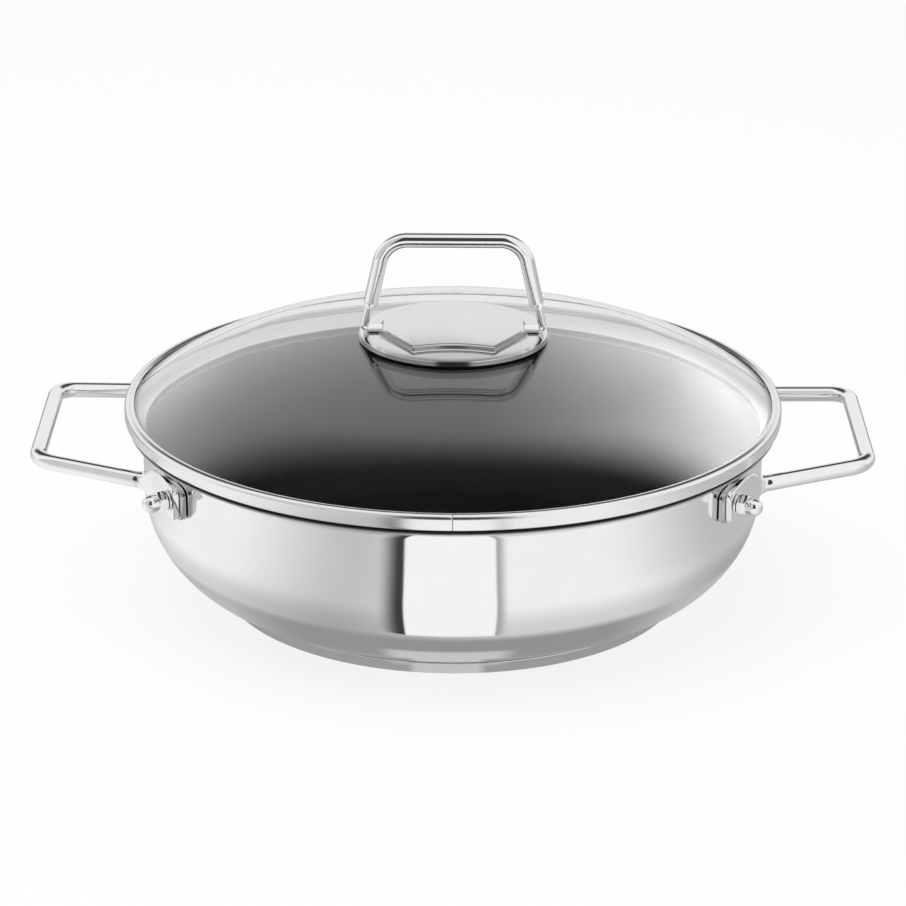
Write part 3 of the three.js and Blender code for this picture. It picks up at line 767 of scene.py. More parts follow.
# %% Raise the hood
hood = draw("handle_base", [place for place, _ in hood_line])
weld()
bpy.ops.mesh.edge_face_add()
bpy.ops.mesh.select_mode(type="FACE")
bpy.ops.mesh.select_all(action="SELECT")
bpy.ops.mesh.inset(thickness=HOOD_DRAFT * MM, use_even_offset=True)
bpy.ops.transform.translate(value=(0, 0, (hood_top - disc_shoulder) * MM))
print("hood raised by", round(hood_top - disc_shoulder, 2), "mm")

# %% Pull its foot out to a disc
FLAT_RADIUS = 37.0  # where the disc starts to slope
SLOPE_FALL = 0.45
LIP_DROP = 1.95  # the edge is turned down by this much
LIP_LEAN = 0.6  # and leans out by this much


def widen(share):
    """Scales what is selected about the pot's axis, at its level."""
    bpy.ops.transform.resize(value=(share, share, 1), center_override=(0, 0, 0))


select_edges(hood, lambda a, b: max(a.z, b.z) < disc_shoulder * MM + WELD)
bpy.ops.mesh.extrude_edges_move()
bpy.ops.transform.tosphere(value=1)
bpy.ops.object.mode_set(mode="OBJECT")
drawn_radius = hood.data.vertices[-1].co.xy.length / MM
bpy.ops.object.mode_set(mode="EDIT")
widen(FLAT_RADIUS / drawn_radius)
bpy.ops.mesh.extrude_edges_move(TRANSFORM_OT_translate={"value": (0, 0, -SLOPE_FALL * MM)})
widen((disc_radius - LIP_LEAN) / FLAT_RADIUS)
bpy.ops.mesh.extrude_edges_move(TRANSFORM_OT_translate={"value": (0, 0, -LIP_DROP * MM)})
widen(disc_radius / (disc_radius - LIP_LEAN))
print("circle of", round(drawn_radius, 2), "mm widened to", round(disc_radius, 2), "mm")

# %% Round the hood's edges and give it thickness
select_edges(hood, lambda a, b: min(a.z, b.z) > hood_top * MM - WELD)
bpy.ops.mesh.bevel(offset=HOOD_EDGE * MM, segments=5)


def on_foot(a, b):
    """Whether an edge lies on the hood's foot, and not where the disc starts to slope."""
    level = max(abs(end.z - disc_shoulder * MM) for end in (a, b)) < WELD
    return level and max(a.xy.length, b.xy.length) < (FLAT_RADIUS - HOOD_EDGE) * MM


select_edges(hood, on_foot)
bpy.ops.mesh.bevel(offset=HOOD_EDGE * MM, segments=5)
weld()
bpy.ops.object.mode_set(mode="OBJECT")
bpy.ops.object.modifier_add(type="SOLIDIFY")
hood.modifiers[-1].thickness = DISC_SHEET * MM
hood.modifiers[-1].offset = -1
bpy.ops.object.modifier_apply(modifier=hood.modifiers[-1].name)
print("hood:", len(hood.data.polygons), "faces")

# %% Open the two mouths
def cut(piece, tool):
    """Cuts a tool out of a piece. The tool is used up."""
    pick(piece)
    bpy.ops.object.modifier_add(type="BOOLEAN")
    piece.modifiers[-1].operation = "DIFFERENCE"
    piece.modifiers[-1].object = tool
    bpy.ops.object.modifier_apply(modifier=piece.modifiers[-1].name)
    bpy.data.objects.remove(tool)


FOOT_WIDTH = 9.0
MOUTH_PLAY = 0.6
MOUTH_SILL = 0.02  # what is left of the hood's foot in a mouth
cut_reach = 2 * disc_radius  # to each side, well past the mouths
mouth_low, mouth_high = disc_shoulder + MOUTH_SILL, hood_top - DISC_SHEET
mouth_size = (2 * cut_reach, FOOT_WIDTH + 2 * MOUTH_PLAY, mouth_high - mouth_low)
cutter = block("mouth_cutter", mouth_size, (0, 0, (mouth_low + mouth_high) / 2))
cut(hood, cutter)
bpy.ops.object.shade_smooth_by_angle(angle=SMOOTH_ANGLE)
seat(hood, "lid", "disc steel", "lid_handle_base")

# %% [markdown]
# ## Lid handle
# The same wire as at the sides, a little thinner. Its ends are pressed to tongues that stand near the
# outside of the legs, bend in under the hood and lie there as flat feet. The bender of the side handles
# makes it too, with a section that goes from foot to tongue to round wire.

# %% Line of the lid handle
WIRE = 6.4
WIRE_SHOULDER = 31.2  # half width where the upper corners end
SHOULDER_DROP = 9.5  # level of that width below the top
WIRE_SPLAY = 0.218  # how fast the legs spread downwards
WIRE_BEND = 12.0
FOOT_BEND = 2.0
FOOT_THICKNESS = 1.0
TONGUE_THICKNESS = 3.4
TONGUE_WIDTH = 8.0
TONGUE_TOP = 11.3  # shoulder of the tongue above the disc
TONGUE_SHOULDER = 1.2  # from tongue to round wire
TONGUE_ASIDE = 0.6  # middle of the tongue outside the middle of the wire
FOOT_REACH = 25.0
FOOT_EDGE = 0.5
TONGUE_EDGE = 1.2
LID_RING_SPACING = 0.4
wire_top = node_box("lid_handle")[1].z
wire_level = wire_top - WIRE / 2
foot_height = disc_shoulder + FIT + FOOT_THICKNESS / 2
shoulder_level = disc_shoulder + TONGUE_TOP


def leg_at(level):
    """Half the distance between the legs at a level."""
    return WIRE_SHOULDER + WIRE_SPLAY * (wire_top - SHOULDER_DROP - level)


half_lid_handle = [
    (Vector((FOOT_REACH, 0, foot_height)), 0),
    (Vector((leg_at(foot_height), 0, foot_height)), FOOT_BEND),
    (Vector((leg_at(wire_level), 0, wire_level)), WIRE_BEND),
]
other_leg = [(place * Vector((-1, 1, 1)), bend) for place, bend in reversed(half_lid_handle)]
lid_stops = bent_line(half_lid_handle + other_leg, LID_RING_SPACING)
print("lid handle:", len(lid_stops), "rings")

# %% Lid handle
foot_turn = math.pi / 2 + math.atan(WIRE_SPLAY)
foot_cut = FOOT_BEND * math.tan(foot_turn / 2)
foot_end = leg_at(foot_height) - FOOT_REACH - foot_cut  # along the wire, as the next two
leg_start = foot_end + FOOT_BEND * foot_turn
tongue_end = leg_start + (shoulder_level - foot_height) * math.hypot(1, WIRE_SPLAY) - foot_cut


def lid_handle_section(run):
    """Foot, tongue or round wire, at a distance from the nearer end."""
    rising = smooth_step(run, foot_end, leg_start)
    round_share = smooth_step(run, tongue_end, tongue_end + TONGUE_SHOULDER)
    thick = blend(blend(FOOT_THICKNESS, TONGUE_THICKNESS, rising) / 2, WIRE / 2, round_share)
    wide = blend(blend(FOOT_WIDTH, TONGUE_WIDTH, rising) / 2, WIRE / 2, round_share)
    corner = blend(blend(FOOT_EDGE, TONGUE_EDGE, rising), WIRE / 2, round_share)
    return thick, wide, corner, -TONGUE_ASIDE * rising * (1 - round_share)


lid_bow = wire("lid_bow", lid_stops, Vector((0, 1, 0)), lid_handle_section)
seat(lid_bow, "lid", "wire steel", "lid_handle")

# %% [markdown]
# ## Lid fixing
# A bush under the hood, two silicone rings, a washer and a screw hold the handle. They show when the lid
# is lifted and looked at from below. All are round, so they are turned like the shell, from the boxes of
# their CAD nodes, and the cross in the screw's head is cut by two blocks.

# %% Rings of the lid fixing
FIXING_STEPS = 64


def ring(name, node, hole, rounding):
    """A flat ring with rounded rims, as large as its CAD node."""
    low, high = node_box(node)
    outer = high.x
    return turned(name, [
        *arc(hole + rounding, low.z + rounding, rounding, 180, 270, steps=4),
        *arc(outer - rounding, low.z + rounding, rounding, -90, 0, steps=4),
        *arc(outer - rounding, high.z - rounding, rounding, 0, 90, steps=4),
        *arc(hole + rounding, high.z - rounding, rounding, 90, 180, steps=4),
    ], FIXING_STEPS)


BUSH_NECK = 4.2  # radius
SCREW_SHANK = 2.2  # radius
SEAL_ROUND = 0.3
LID_WASHER_ROUND = 0.2
for name, node in (("upper_seal", "lid_upper_gasket"), ("lower_seal", "lid_lower_gasket")):
    seat(ring(name, node, BUSH_NECK + FIT, SEAL_ROUND), "lid", "silicone", node)
seat(
    ring("lid_disc", "lid_washer", SCREW_SHANK + FIT, LID_WASHER_ROUND),
    "lid", "fixing steel", "lid_washer",
)

# %% Bush
BUSH_FLANGE_THICKNESS = 0.8
BUSH_BORE = 2.5  # radius
bush_low, bush_high = node_box("lid_bush")
bush_step = bush_high.z - BUSH_FLANGE_THICKNESS
seat(
    turned("bush", [
        (BUSH_BORE, bush_low.z), (BUSH_NECK, bush_low.z), (BUSH_NECK, bush_step),
        *arc(bush_high.x - EDGE_BREAK, bush_step + EDGE_BREAK, EDGE_BREAK, -90, 0, steps=3),
        *arc(bush_high.x - EDGE_BREAK, bush_high.z - EDGE_BREAK, EDGE_BREAK, 0, 90, steps=3),
        (BUSH_BORE, bush_high.z),
    ], FIXING_STEPS),
    "lid", "fixing steel", "lid_bush",
)

# %% Screw
SCREW_HEAD_HEIGHT = 2.8
SCREW_ROUND = 2.2
screw_low, screw_high = node_box("lid_screw")
head = screw_high.x
head_seat = screw_low.z + SCREW_HEAD_HEIGHT
screw = turned("screw", [
    (0, screw_low.z),
    *arc(head - SCREW_ROUND, screw_low.z + SCREW_ROUND, SCREW_ROUND, -90, 0, steps=8),
    (head, head_seat), (SCREW_SHANK, head_seat), (SCREW_SHANK, screw_high.z), (0, screw_high.z),
], FIXING_STEPS, closed=False)
SLOT_LENGTH = 4.6  # of one arm of the cross in the head
SLOT_WIDTH = 1.1
SLOT_DEPTH = 1.5
for length, width in ((SLOT_LENGTH, SLOT_WIDTH), (SLOT_WIDTH, SLOT_LENGTH)):
    arm = block("slot_cutter", (length, width, 2 * SLOT_DEPTH), (0, 0, screw_low.z))
    cut(screw, arm)
bpy.ops.object.shade_smooth_by_angle(angle=SMOOTH_ANGLE)
seat(screw, "lid", "fixing steel", "lid_screw")

# %% [markdown]
# ## Shader sums
# A finish is a small sum over the surface: so much grain, so much smear. Drawing such sums as loose
# nodes is hard to read, so one class wraps a socket and lets it take part in Python expressions. Every
# other node comes from one method.

# %% Sockets that add and multiply
DEGREES = 180 / math.pi


class Flow:
    """A value on its way through a node tree."""

    def __init__(self, sheet, socket):
        self.sheet = sheet
        self.socket = socket

    def math(self, operation, *values):
        """A Math node on values, of which this one need not be the first."""
        return self.sheet.node("ShaderNodeMath", {"operation": operation}, dict(enumerate(values)))

    def __add__(self, other):
        return self.math("ADD", self, other)

    def __sub__(self, other):
        return self.math("SUBTRACT", self, other)

    def __rsub__(self, other):
        return self.math("SUBTRACT", other, self)

    def __mul__(self, other):
        return self.math("MULTIPLY", self, other)

    def __truediv__(self, other):
        return self.math("DIVIDE", self, other)

    def __pow__(self, other):
        return self.math("POWER", self, other)

    def __neg__(self):
        return self.math("MULTIPLY", self, -1)

    __radd__ = __add__
    __rmul__ = __mul__

    def output(self, name):
        """Another output of the same node."""
        return Flow(self.sheet, self.socket.node.outputs[name])

    def step(self, start, stop):
        """0 before start, 1 after stop, and smooth between them."""
        ends = {"Value": self, "From Min": start, "From Max": stop}
        return self.sheet.node("ShaderNodeMapRange", {"interpolation_type": "SMOOTHSTEP"}, ends)

    def above(self, level, soft):
        """0 below a level and 1 above it, with a soft edge."""
        return self.step(level - soft, level + soft)

    def between(self, start, stop, soft):
        """1 between two values, with soft edges."""
        return self.above(start, soft) * (1 - self.above(stop, soft))

    def near(self, middle, inner, outer):
        """1 within inner of the middle, 0 beyond outer."""
        return 1 - self.math("ABSOLUTE", self - middle, 0).step(inner, outer)

    def larger(self, other):
        """The larger of two values."""
        return self.math("MAXIMUM", self, other)

    def degrees_from(self, other):
        """The angle of a direction with these two parts, 0 along the other one."""
        return self.math("ARCTAN2", self, other) * DEGREES

    def cover(self, mask, brightness):
        """Covers what is there with a card of one brightness."""
        return self + mask * (brightness - self)


# %% Node trees that are written
class Sheet:
    """A node tree that is written, not drawn."""

    def __init__(self, tree):
        self.tree = tree
        tree.nodes.clear()

    def node(self, kind, settings=None, sockets=None, output=0):
        """A node of one kind: its settings first, then the values or links of its sockets."""
        made = self.tree.nodes.new(kind)
        for name, value in (settings or {}).items():
            setattr(made, name, value)
        for name, value in (sockets or {}).items():
            if isinstance(value, Flow):
                self.tree.links.new(value.socket, made.inputs[name])
            else:
                made.inputs[name].default_value = value
        return Flow(self, made.outputs[output]) if made.outputs else made

    def place(self, kind="Object"):
        """Object coordinates, or others of the same node, as three values."""
        spot = self.node("ShaderNodeTexCoord", output=kind)
        parts = self.node("ShaderNodeSeparateXYZ", sockets={"Vector": spot})
        return parts, parts.output("Y"), parts.output("Z")

    def vector(self, x, y, z):
        """Three values as one place."""
        return self.node("ShaderNodeCombineXYZ", sockets={"X": x, "Y": y, "Z": z})

    def noise(self, vector, scale, detail=2.0, roughness=0.5):
        """Cloudy values about 0.5."""
        knobs = {"Vector": vector, "Scale": scale, "Detail": detail, "Roughness": roughness}
        return self.node("ShaderNodeTexNoise", sockets=knobs)

    def mix(self, share, first, second):
        """Blends two colours."""
        return self.node("ShaderNodeMix", {"data_type": "RGBA"}, {0: share, 6: first, 7: second}, output=2)

    def bump(self, height, strength, distance):
        """A normal that follows a height which is too low for the mesh."""
        knobs = {"Height": height, "Strength": strength, "Distance": distance}
        return self.node("ShaderNodeBump", sockets=knobs)

    def surface(self, shader):
        """Ends a material with its shader."""
        self.node("ShaderNodeOutputMaterial", sockets={"Surface": shader})

    def sight(self):
        """The light path, and masks: rays that left glass, these or the camera's, and mirrors' rays."""
        light = self.node("ShaderNodeLightPath", output="Is Camera Ray")
        through = light.output("Is Transmission Ray")
        return light, through, light.larger(through), light.output("Is Glossy Ray") * (1 - through)


# %% Finishes and who wears them
def new_finish(name):
    """A new material and the sheet to write it on."""
    finish = bpy.data.materials.new(name)
    finish.use_nodes = True
    return finish, Sheet(finish.node_tree)


def wear(finish, material):
    """Puts a material on every piece that is listed for a finish."""
    for piece in worn[finish]:
        piece.data.materials.clear()
        piece.data.materials.append(material)
    print(material.name, "on", len(worn[finish]), "pieces")


# %% [markdown]
# ## Polished steel
# The outside is polished to a mirror. What gives steel away is what the polishing leaves: hairlines that
# run round the pot, because it turned against the wheel, and faint clouds where the polish differs. Both
# change the roughness a little, and the hairlines are also a bump too low to see as a shape. Where the
# wheel does not reach, the steel is rougher: on the inside of the wall and the lip, on the steep sides of
# the hood and the turned-down edge of its disc, and under the rim outside its skirt. There its colour is
# also made darker as painted shade: grey on the inside of the wall and the lip, darker on the sides of the
# hood and the disc's edge, and nearly black in the gap under the rim. Such a place is found by a rule on
# radius and height, so no map is painted.

# %% Polished steel
CLOUDS_PER_METRE = 45.0
CLOUD_TONE = 0.98  # colour of a cloud, as a share of the steel's
CLOUD_SHARE = 0.25  # a cloud's roughness, as a share of the hairlines'
LINE_CHANGE = 2.0  # how much a hairline changes on its way round
LINE_STRENGTH = 0.02
LINE_DEPTH = 0.1 * MM


def polished_steel(name, color, roughness, hairlines, lines_per_metre, turned_round=True, dull_and_shade=None):
    """Steel as the wheel left it. Last argument: where the wheel missed, the shade painted there, more
    roughness.
    """
    finish, sheet = new_finish(name)
    x, y, z = sheet.place()
    radius = (x * x + y * y) ** 0.5
    if turned_round:
        around = y.math("ARCTAN2", y, x)
        line_place = sheet.vector(radius * lines_per_metre, z * lines_per_metre, around * LINE_CHANGE)
    else:
        line_place = sheet.vector(x * lines_per_metre, y * lines_per_metre, z * lines_per_metre)
    lines = sheet.noise(line_place, scale=1.0, detail=3.0, roughness=0.6)
    clouds = sheet.noise(sheet.vector(x, y, z), CLOUDS_PER_METRE, detail=3.0, roughness=0.55)
    deep = [channel * CLOUD_TONE for channel in color]
    base = sheet.mix(clouds.step(0.35, 0.7), (*color, 1), (*deep, 1))
    gloss = roughness + (lines - 0.5) * hairlines
    gloss = gloss + clouds.step(0.45, 0.75) * (hairlines * CLOUD_SHARE)
    if dull_and_shade:
        rule, painted_shade_color, rougher = dull_and_shade
        here = rule(radius / MM, z / MM)
        # the colour mixed in here is painted shade
        base = sheet.mix(here, base, (*painted_shade_color, 1))
        gloss = gloss + here * rougher
    sheet.surface(sheet.node("ShaderNodeBsdfPrincipled", sockets={
        "Base Color": base,
        "Metallic": 1.0,
        "Roughness": gloss,
        "Normal": sheet.bump(lines, LINE_STRENGTH, LINE_DEPTH),
    }))
    return finish


# %% Where the steel is duller and its shade is painted
SOFT = 0.2  # mm, half of the change from one finish to the next
UPRIGHT_FROM = 61.0  # above the round turn, where radius tells inside from outside
GAP_SHADE_LIFT = 0.1  # the painted shade ends this far above the rim's underside
EDGE_BELOW = 0.25  # the disc's turned-down edge starts this far below its slope


def inside_wall(radius, z):
    """The inside of the upright wall and of the flare, where the steel is rougher and painted grey as
    shade.
    """
    upright = (1 - radius.step(wall - SHEET / 2, wall)) * z.above(UPRIGHT_FROM, 5 * SOFT)
    from_bend = ((radius - flare) ** 2 + (z - lip_start) ** 2) ** 0.5
    flared = from_bend.above(LIP_BEND + SHEET / 2, SOFT) * z.step(lip_start, lip_start + 1.5 * SOFT)
    return upright.larger(flared)


def under_rim(radius, z):
    """The underside of the rim and the outside of its skirt, where the gap's shade is painted."""
    low = 1 - z.above(rim_bottom + GAP_SHADE_LIFT, GAP_SHADE_LIFT / 2)
    middle = (slope_outside + slope_inside) / 2
    return low * (1 - (z - radius).above(middle, SOFT))


def steep_sides(radius, z):
    """The sides of the hood and the turned-down edge of the disc, where shade is painted darker."""
    sides = z.between(disc_shoulder + 2 * SOFT, hood_top - 2 * SOFT, SOFT)
    edge_level = disc_shoulder - SLOPE_FALL - EDGE_BELOW
    return sides + 1 - z.above(edge_level, 0.75 * SOFT)


# %% Steel and aluminium
STEEL = (0.90, 0.90, 0.905)
SATIN_STEEL = (0.77, 0.77, 0.775)
# painted shade: a grey steel colour for the inside of the pot and the lip under the lid rim, and for the
# brackets
SHADED_STEEL = (0.52, 0.52, 0.525)
# painted shade: a darker steel colour for the hood's sides and the disc's turned-down edge
SIDE_SHADE_STEEL = (0.30, 0.30, 0.30)
# painted shade: a near-black steel colour for the gap under the lid rim
GAP_SHADE_STEEL = (0.10, 0.10, 0.10)
ALUMINIUM = (0.78, 0.79, 0.81)

# the inside of the wall and the lip get painted shade, the shade under the lid rim
wear("shell steel", polished_steel(
    "mirror_shell", STEEL, roughness=0.05, hairlines=0.03, lines_per_metre=2500,
    dull_and_shade=(inside_wall, SHADED_STEEL, 0.6)))
# the underside of the rim is painted near black, the shade in the gap
wear("rim steel", polished_steel(
    "mirror_rim", STEEL, roughness=0.2, hairlines=0.03, lines_per_metre=3000,
    dull_and_shade=(under_rim, GAP_SHADE_STEEL, 0.5)))
# the hood's sides and the disc's edge get painted shade
wear("disc steel", polished_steel(
    "pressed_disc", SATIN_STEEL, roughness=0.10, hairlines=0.05, lines_per_metre=3000,
    dull_and_shade=(steep_sides, SIDE_SHADE_STEEL, 0.05)))
wear("base steel", polished_steel(
    "turned_base", STEEL, roughness=0.09, hairlines=0.08, lines_per_metre=1800))
wear("wire steel", polished_steel(
    "drawn_wire", STEEL, roughness=0.07, hairlines=0.05, lines_per_metre=900, turned_round=False))
wear("fixing steel", polished_steel(
    "bright_fixing", STEEL, roughness=0.10, hairlines=0.06, lines_per_metre=1200, turned_round=False))
# the brackets' darker colour is painted shade between the flat and the wall
wear("pressed steel in shade", polished_steel(
    "shaded_bracket", SHADED_STEEL, roughness=0.16, hairlines=0.06, lines_per_metre=1200, turned_round=False))
wear("aluminium", polished_steel(
    "rolled_aluminium", ALUMINIUM, roughness=0.35, hairlines=0.15, lines_per_metre=1500))

# %% [markdown]
# ## Nonstick, silicone and glass
# The coating is a dark resin with a faint speckle and the skin of a sprayed film. Along its top edge a
# pale band is painted, a painted glint where that edge catches the light. Silicone is dull and slightly
# mottled. The glass is clear with a breath of green. It bends light, but for shadow rays it is simply open,
# because otherwise the inside of the pot would get no lamp light at all. None of this needs a picture:
# noise on the object's own coordinates gives the same speckle from every side.

# %% Nonstick
NONSTICK = (0.009, 0.009, 0.0095, 1)
NONSTICK_FLECK = (0.035, 0.035, 0.036, 1)
# painted highlight: a pale colour along the top edge of the coating, a painted glint
COAT_EDGE_GLINT = (0.8, 0.8, 0.8, 1)
GLINT_WIDTH = 0.8  # mm, below its top edge
SKIN_PER_METRE = 900.0
SKIN_DEPTH = 0.2 * MM
FLECKS_PER_METRE = 2600.0
finish, sheet = new_finish("sprayed_coat")
x, y, z = sheet.place()
spot = sheet.vector(x, y, z)
# the band where the painted glint of the edge is laid on
edge_glint = (z / MM).above(lining_top - GLINT_WIDTH, SOFT)
skin = sheet.noise(spot, SKIN_PER_METRE)
flecks = sheet.noise(spot, FLECKS_PER_METRE, detail=1.0).step(0.68, 0.74)
sheet.surface(sheet.node("ShaderNodeBsdfPrincipled", sockets={
    "Base Color": sheet.mix(edge_glint, sheet.mix(flecks, NONSTICK, NONSTICK_FLECK), COAT_EDGE_GLINT),
    "Roughness": 0.42 + skin * 0.12,
    "Specular IOR Level": 0.25,
    "Normal": sheet.bump(skin, 0.25, SKIN_DEPTH),
}))
wear("nonstick", finish)

# %% Silicone
SILICONE = (0.035, 0.035, 0.037, 1)
SILICONE_PALE = (0.055, 0.055, 0.058, 1)
MOTTLE_PER_METRE = 500.0
finish, sheet = new_finish("moulded_silicone")
mottle = sheet.noise(sheet.vector(*sheet.place()), MOTTLE_PER_METRE, detail=3.0)
sheet.surface(sheet.node("ShaderNodeBsdfPrincipled", sockets={
    "Base Color": sheet.mix(mottle, SILICONE, SILICONE_PALE),
    "Roughness": 0.6 + mottle * 0.2,
    "Normal": sheet.bump(mottle, 0.2, SKIN_DEPTH),
}))
wear("silicone", finish)

# %% Glass
GLASS_TINT = (0.99, 0.994, 0.992, 1)
GLASS_DEEP = (0.98, 0.988, 0.984, 1)
STREAKS_PER_METRE = 30.0
finish, sheet = new_finish("clear_glass")
streaks = sheet.noise(sheet.vector(*sheet.place()), STREAKS_PER_METRE)
shader = sheet.node("ShaderNodeBsdfPrincipled", sockets={
    "Base Color": sheet.mix(streaks, GLASS_TINT, GLASS_DEEP),
    "Roughness": streaks * 0.003,
    "IOR": 1.5,
    "Transmission Weight": 1.0,
})
shadow = sheet.node("ShaderNodeLightPath", output="Is Shadow Ray")
open_way = sheet.node("ShaderNodeBsdfTransparent")
sheet.surface(sheet.node("ShaderNodeMixShader", sockets={0: shadow, 1: shader, 2: open_way}))
wear("clear glass", finish)

# %% [markdown]
# ## Studio
# A mirror looks like what stands around it, so the studio is most of the picture. It could be built of
# real cards, but then they would light the floor too. So the world is that studio: white to the camera
# and through the glass, a plain soft grey as light, and to the steel a set of white and dark cards that
# are written as directions. Azimuth 0 is towards the camera and grows to the right, elevation 90 is
# overhead, and over runs from 0 in front across the top to 180 behind. Light that the lower face of the
# glass throws back comes out by refraction, so rays that leave the glass upwards see the cards too. Glass
# gives sharp rays and polished steel slightly rough ones, which tells the two apart.

# %% Directions in the studio
world = bpy.data.worlds.new("studio")
bpy.context.scene.world = world
world.use_nodes = True
sheet = Sheet(world.node_tree)
ray_x, ray_y, ray_z = sheet.place("Generated")
azimuth = ray_x.degrees_from(-ray_y)
over = ray_z.degrees_from(-ray_y)
elevation = ray_z.math("ARCSINE", ray_z) * DEGREES
print("directions:", len(world.node_tree.nodes), "nodes")

# %% Cards that the steel sees
LEFT_WALL = 0.62
RIGHT_WALL = 0.95
CAMERA_CARD = 0.05  # dark, behind the camera
TOP_LIGHT = 0.95
TOP_CARD = 0.06  # dark, where the broad light overhead ends
BACK_WALL = 0.92
on_right = azimuth.near(35, 10, 75)
behind_camera = over.between(4, 58, 5) * azimuth.near(0, 16, 26)
overhead = over.step(66, 76)
past_light = over.step(104, 118) * ray_x.near(0, 0.5, 0.8)
at_back = over.step(144, 159)
steel_view = LEFT_WALL + (RIGHT_WALL - LEFT_WALL) * on_right
steel_view = steel_view.cover(behind_camera, CAMERA_CARD)
steel_view = steel_view.cover(overhead, TOP_LIGHT)
steel_view = steel_view.cover(past_light, TOP_CARD)
steel_view = steel_view.cover(at_back, BACK_WALL)
print("with cards:", len(world.node_tree.nodes), "nodes")

# %% Window that the glass sees
# glass throws back little, so its window is far brighter than the cards, and the steel is kept out of it
WINDOW = 0.85
WINDOW_LEFT = 0.75  # added on the left
WINDOW_RIGHT = 3.2  # added on the right
WINDOW_FADE = 0.022  # share of that lost for each degree further down
WINDOW_FULL = 150  # degrees over, where nothing of it is lost
WINDOW_FOOT = 160  # degrees over
WINDOW_TAPER = 33  # degrees above its foot, where it is twice as wide
HORIZON = 0.8  # below its foot
aside = ray_x / (1 + (WINDOW_FOOT - over) / WINDOW_TAPER)
window = WINDOW + WINDOW_LEFT * (-aside).step(0.05, 0.42)
window = window + WINDOW_RIGHT * aside.step(0, 0.42) * (1 - WINDOW_FADE * (over - WINDOW_FULL))
glass_view = over.step(111, 138) * window
glass_view = glass_view.cover(over.step(WINDOW_FOOT, 174), HORIZON)
print("with the window:", len(world.node_tree.nodes), "nodes")

# %% World
LIGHT_LEVEL = 0.6
FRONT_GLOW = 0.9  # in front, for rays that leave the glass
POT_LEVEL = 0.7  # one even level for light that has been inside the pot
POT_DEPTH = 3  # such light has passed this many faces of glass
light, through, shown, mirrored = sheet.sight()
upwards = through * elevation.step(2, 8)
glass_view = glass_view + through * (1 - over.step(70, 95)) * FRONT_GLOW
glass_view = glass_view.cover(light.output("Transmission Depth").above(POT_DEPTH, 0.5), POT_LEVEL)
studio = steel_view.cover(light.output("Is Singular Ray"), glass_view)
plain = LIGHT_LEVEL + shown * (1 - LIGHT_LEVEL)
strength = plain.cover(mirrored.larger(upwards), studio)
background = sheet.node("ShaderNodeBackground", sockets={"Color": (1, 1, 1, 1), "Strength": strength})
sheet.node("ShaderNodeOutputWorld", sockets={"Surface": background})
print("world:", len(world.node_tree.nodes), "nodes")

# %% [markdown]
# ## Floor
# The floor is pale paper and keeps the shadow. The wall of the pot leans over it like a mirror, so what
# the steel sees of the floor is drawn on it with its own places, in metres, light and shade alike: painted
# light to the right in front and to the left, dark behind and far in front, a white panel of painted light
# in front that gets wider with the distance, and the pot's painted shadow, a dark round under the pot and
# a darker floor close to it. The glass sees the floor behind the pot pale.

# %% Floor
FLOOR_SIZE = 12
bpy.ops.object.select_all(action="DESELECT")
bpy.ops.mesh.primitive_plane_add(size=FLOOR_SIZE, location=(0, 0, 0))
floor = bpy.context.object
floor.name = "floor"
finish, sheet = new_finish("floor")
floor.data.materials.append(finish)
x, y, z = sheet.place()
radius = (x * x + y * y) ** 0.5
bearing = x.degrees_from(-y)
print("floor:", FLOOR_SIZE, "m wide")

# %% What the steel sees of the floor
PAPER = 0.55
# painted light: brighter floor to the right in front and to the left
PAPER_GLOW = 0.41  # added on the right in front, and on the left
# painted contact shadow: in reflections the floor is darker close to the pot
NEAR_SHARE = 0.72  # of that, close to the pot
# painted shadow under the pot, as the steel sees it
UNDER_FRONT = 0.32
UNDER_SIDES = 0.2  # added under the pot away from the front
DARK_BEHIND = 0.16
DARK_FRONT = 0.1
glowing = bearing.near(27, 10, 60) + bearing.near(-76, 6, 56)
away = radius.step(0.139, 0.19)
pot_shadow = 1 - radius.step(0.130, 0.1395)
behind = y.step(0.15, 0.5) * x.near(0, 0.25, 0.5)
far_front = (-y).step(0.8, 1.2) * bearing.near(0, 16, 26)
sweep = (PAPER + PAPER_GLOW * glowing) * (NEAR_SHARE + (1 - NEAR_SHARE) * away)
sweep = sweep.cover(pot_shadow, UNDER_FRONT + UNDER_SIDES * (1 - bearing.near(0, 35, 65)))
sweep = sweep.cover(behind, DARK_BEHIND)
sweep = sweep.cover(far_front, DARK_FRONT)
print("floor paper:", len(finish.node_tree.nodes), "nodes")

# %% White panel on the floor
# the white panel is painted light on the floor, seen only in reflections, with painted dark and grey edges
PANEL_START = 0.135  # in front of the axis
PANEL_HALF = 0.0237  # half its width there
PANEL_SPREAD = 0.27  # how fast it gets wider
PANEL_SHIFT = 0.001  # to the left
PANEL_LEAN = 0.014  # and more so with the distance
PANEL_WHITE = 1.0
PANEL_DARK = 0.05  # its left edge
PANEL_GREY = 0.4  # its right edge
reach = -y - PANEL_START
across = (x + PANEL_SHIFT + PANEL_LEAN * reach) / (PANEL_HALF + PANEL_SPREAD * reach)
panel = sweep.cover(across.step(-1.66, -1.08), PANEL_DARK)
panel = panel.cover(across.step(0.98, 1.02), PANEL_GREY)
panel = panel.cover(across.step(1.0, 1.3), sweep)
panel = panel.cover(across.between(-0.98, 1, 0.03), PANEL_WHITE)
sweep = sweep.cover(radius.step(0.1365, 0.139) * reach.step(0, 0.001), panel)
print("floor panel:", len(finish.node_tree.nodes), "nodes")
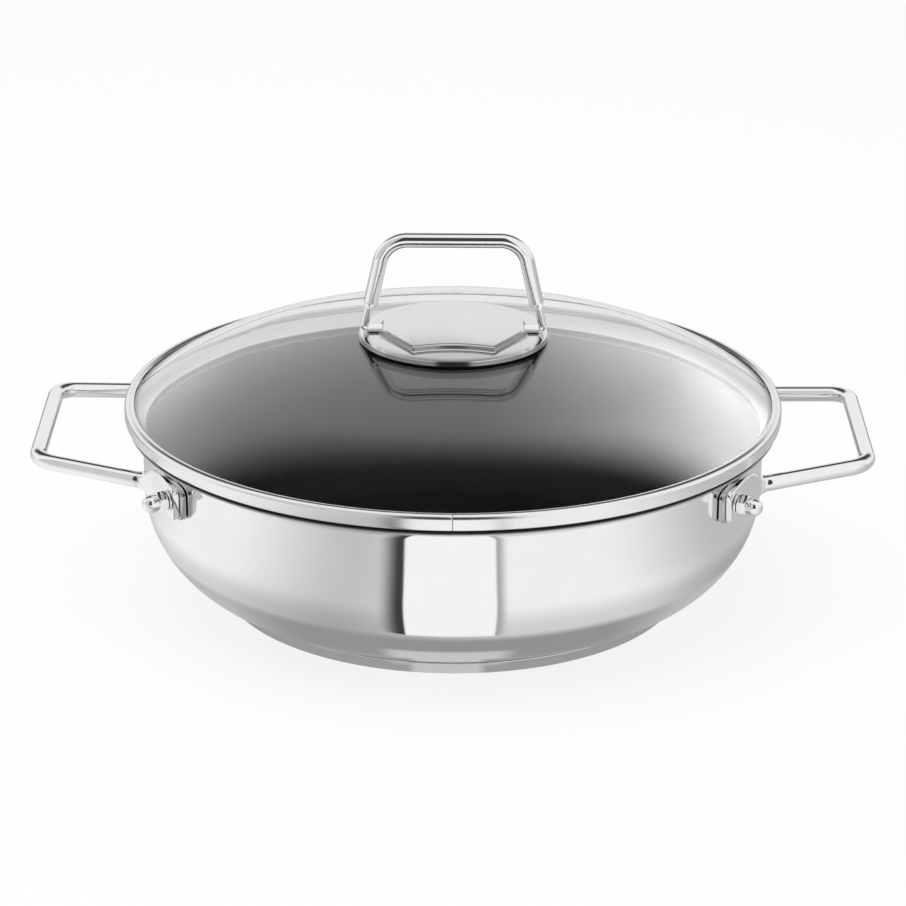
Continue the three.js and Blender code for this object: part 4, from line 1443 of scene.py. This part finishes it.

# %% Under the round turn
# painted light and shade under the round turn: lighter in front, darker further round
TURN_FRONT = 0.6
TURN_DARK = 0.36
turn_front = (1 - radius.step(0.116, 0.120)) * bearing.between(-15, 13, 3)
turn_dark = (1 - radius.step(0.1045, 0.1065)) * (1 - bearing.between(-9.5, 7.5, 1.5))
sweep = sweep.cover(turn_front, TURN_FRONT)
sweep = sweep.cover(turn_dark, TURN_DARK)
print("floor under the turn:", len(finish.node_tree.nodes), "nodes")

# %% Floor's surface
FLOOR_TONE = (0.9, 0.9, 0.9, 1)
SHADOW_SHARE = 0.15  # how much of the floor's own shading the camera sees
PALE_BEHIND = 0.8  # what the glass sees of it behind the pot
light, _, shown, mirrored = sheet.sight()
sweep = sweep.cover(light.output("Is Singular Ray") * y.step(0.15, 0.3), PALE_BEHIND)
glow = 1 + mirrored * (sweep - 1)
share = mirrored.larger(shown * (1 - SHADOW_SHARE))
paper = sheet.node("ShaderNodeBsdfDiffuse", sockets={"Color": FLOOR_TONE})
white = sheet.node("ShaderNodeEmission", sockets={"Color": (1, 1, 1, 1), "Strength": glow})
sheet.surface(sheet.node("ShaderNodeMixShader", sockets={0: share, 1: paper, 2: white}))
print("floor finished:", len(finish.node_tree.nodes), "nodes")

# %% [markdown]
# ## Lamp
# One wide softbox above, a little to the left, gives the floor its faint shadow and lights the coating
# through the glass. Mirrors and glass have their cards already, so the softbox is hidden from them.

# %% Softbox
SOFTBOX_SIZE = 1.6
SOFTBOX_POWER = 22
SOFTBOX_PLACE = Vector((-0.3, -0.2, 1.9))
bpy.ops.object.light_add(type="AREA", location=SOFTBOX_PLACE)
softbox = bpy.context.object
softbox.data.size = SOFTBOX_SIZE
softbox.data.energy = SOFTBOX_POWER
softbox.rotation_euler = (-SOFTBOX_PLACE).to_track_quat("-Z", "Y").to_euler()
softbox.visible_glossy = False
softbox.visible_transmission = False
bpy.context.scene.view_settings.view_transform = "Standard"
print("softbox:", SOFTBOX_SIZE, "m wide,", SOFTBOX_POWER, "W")

# %% [markdown]
# ## The end
# The dressed model may not be larger than the CAD model.

# %% Finish
bpy.context.view_layer.update()
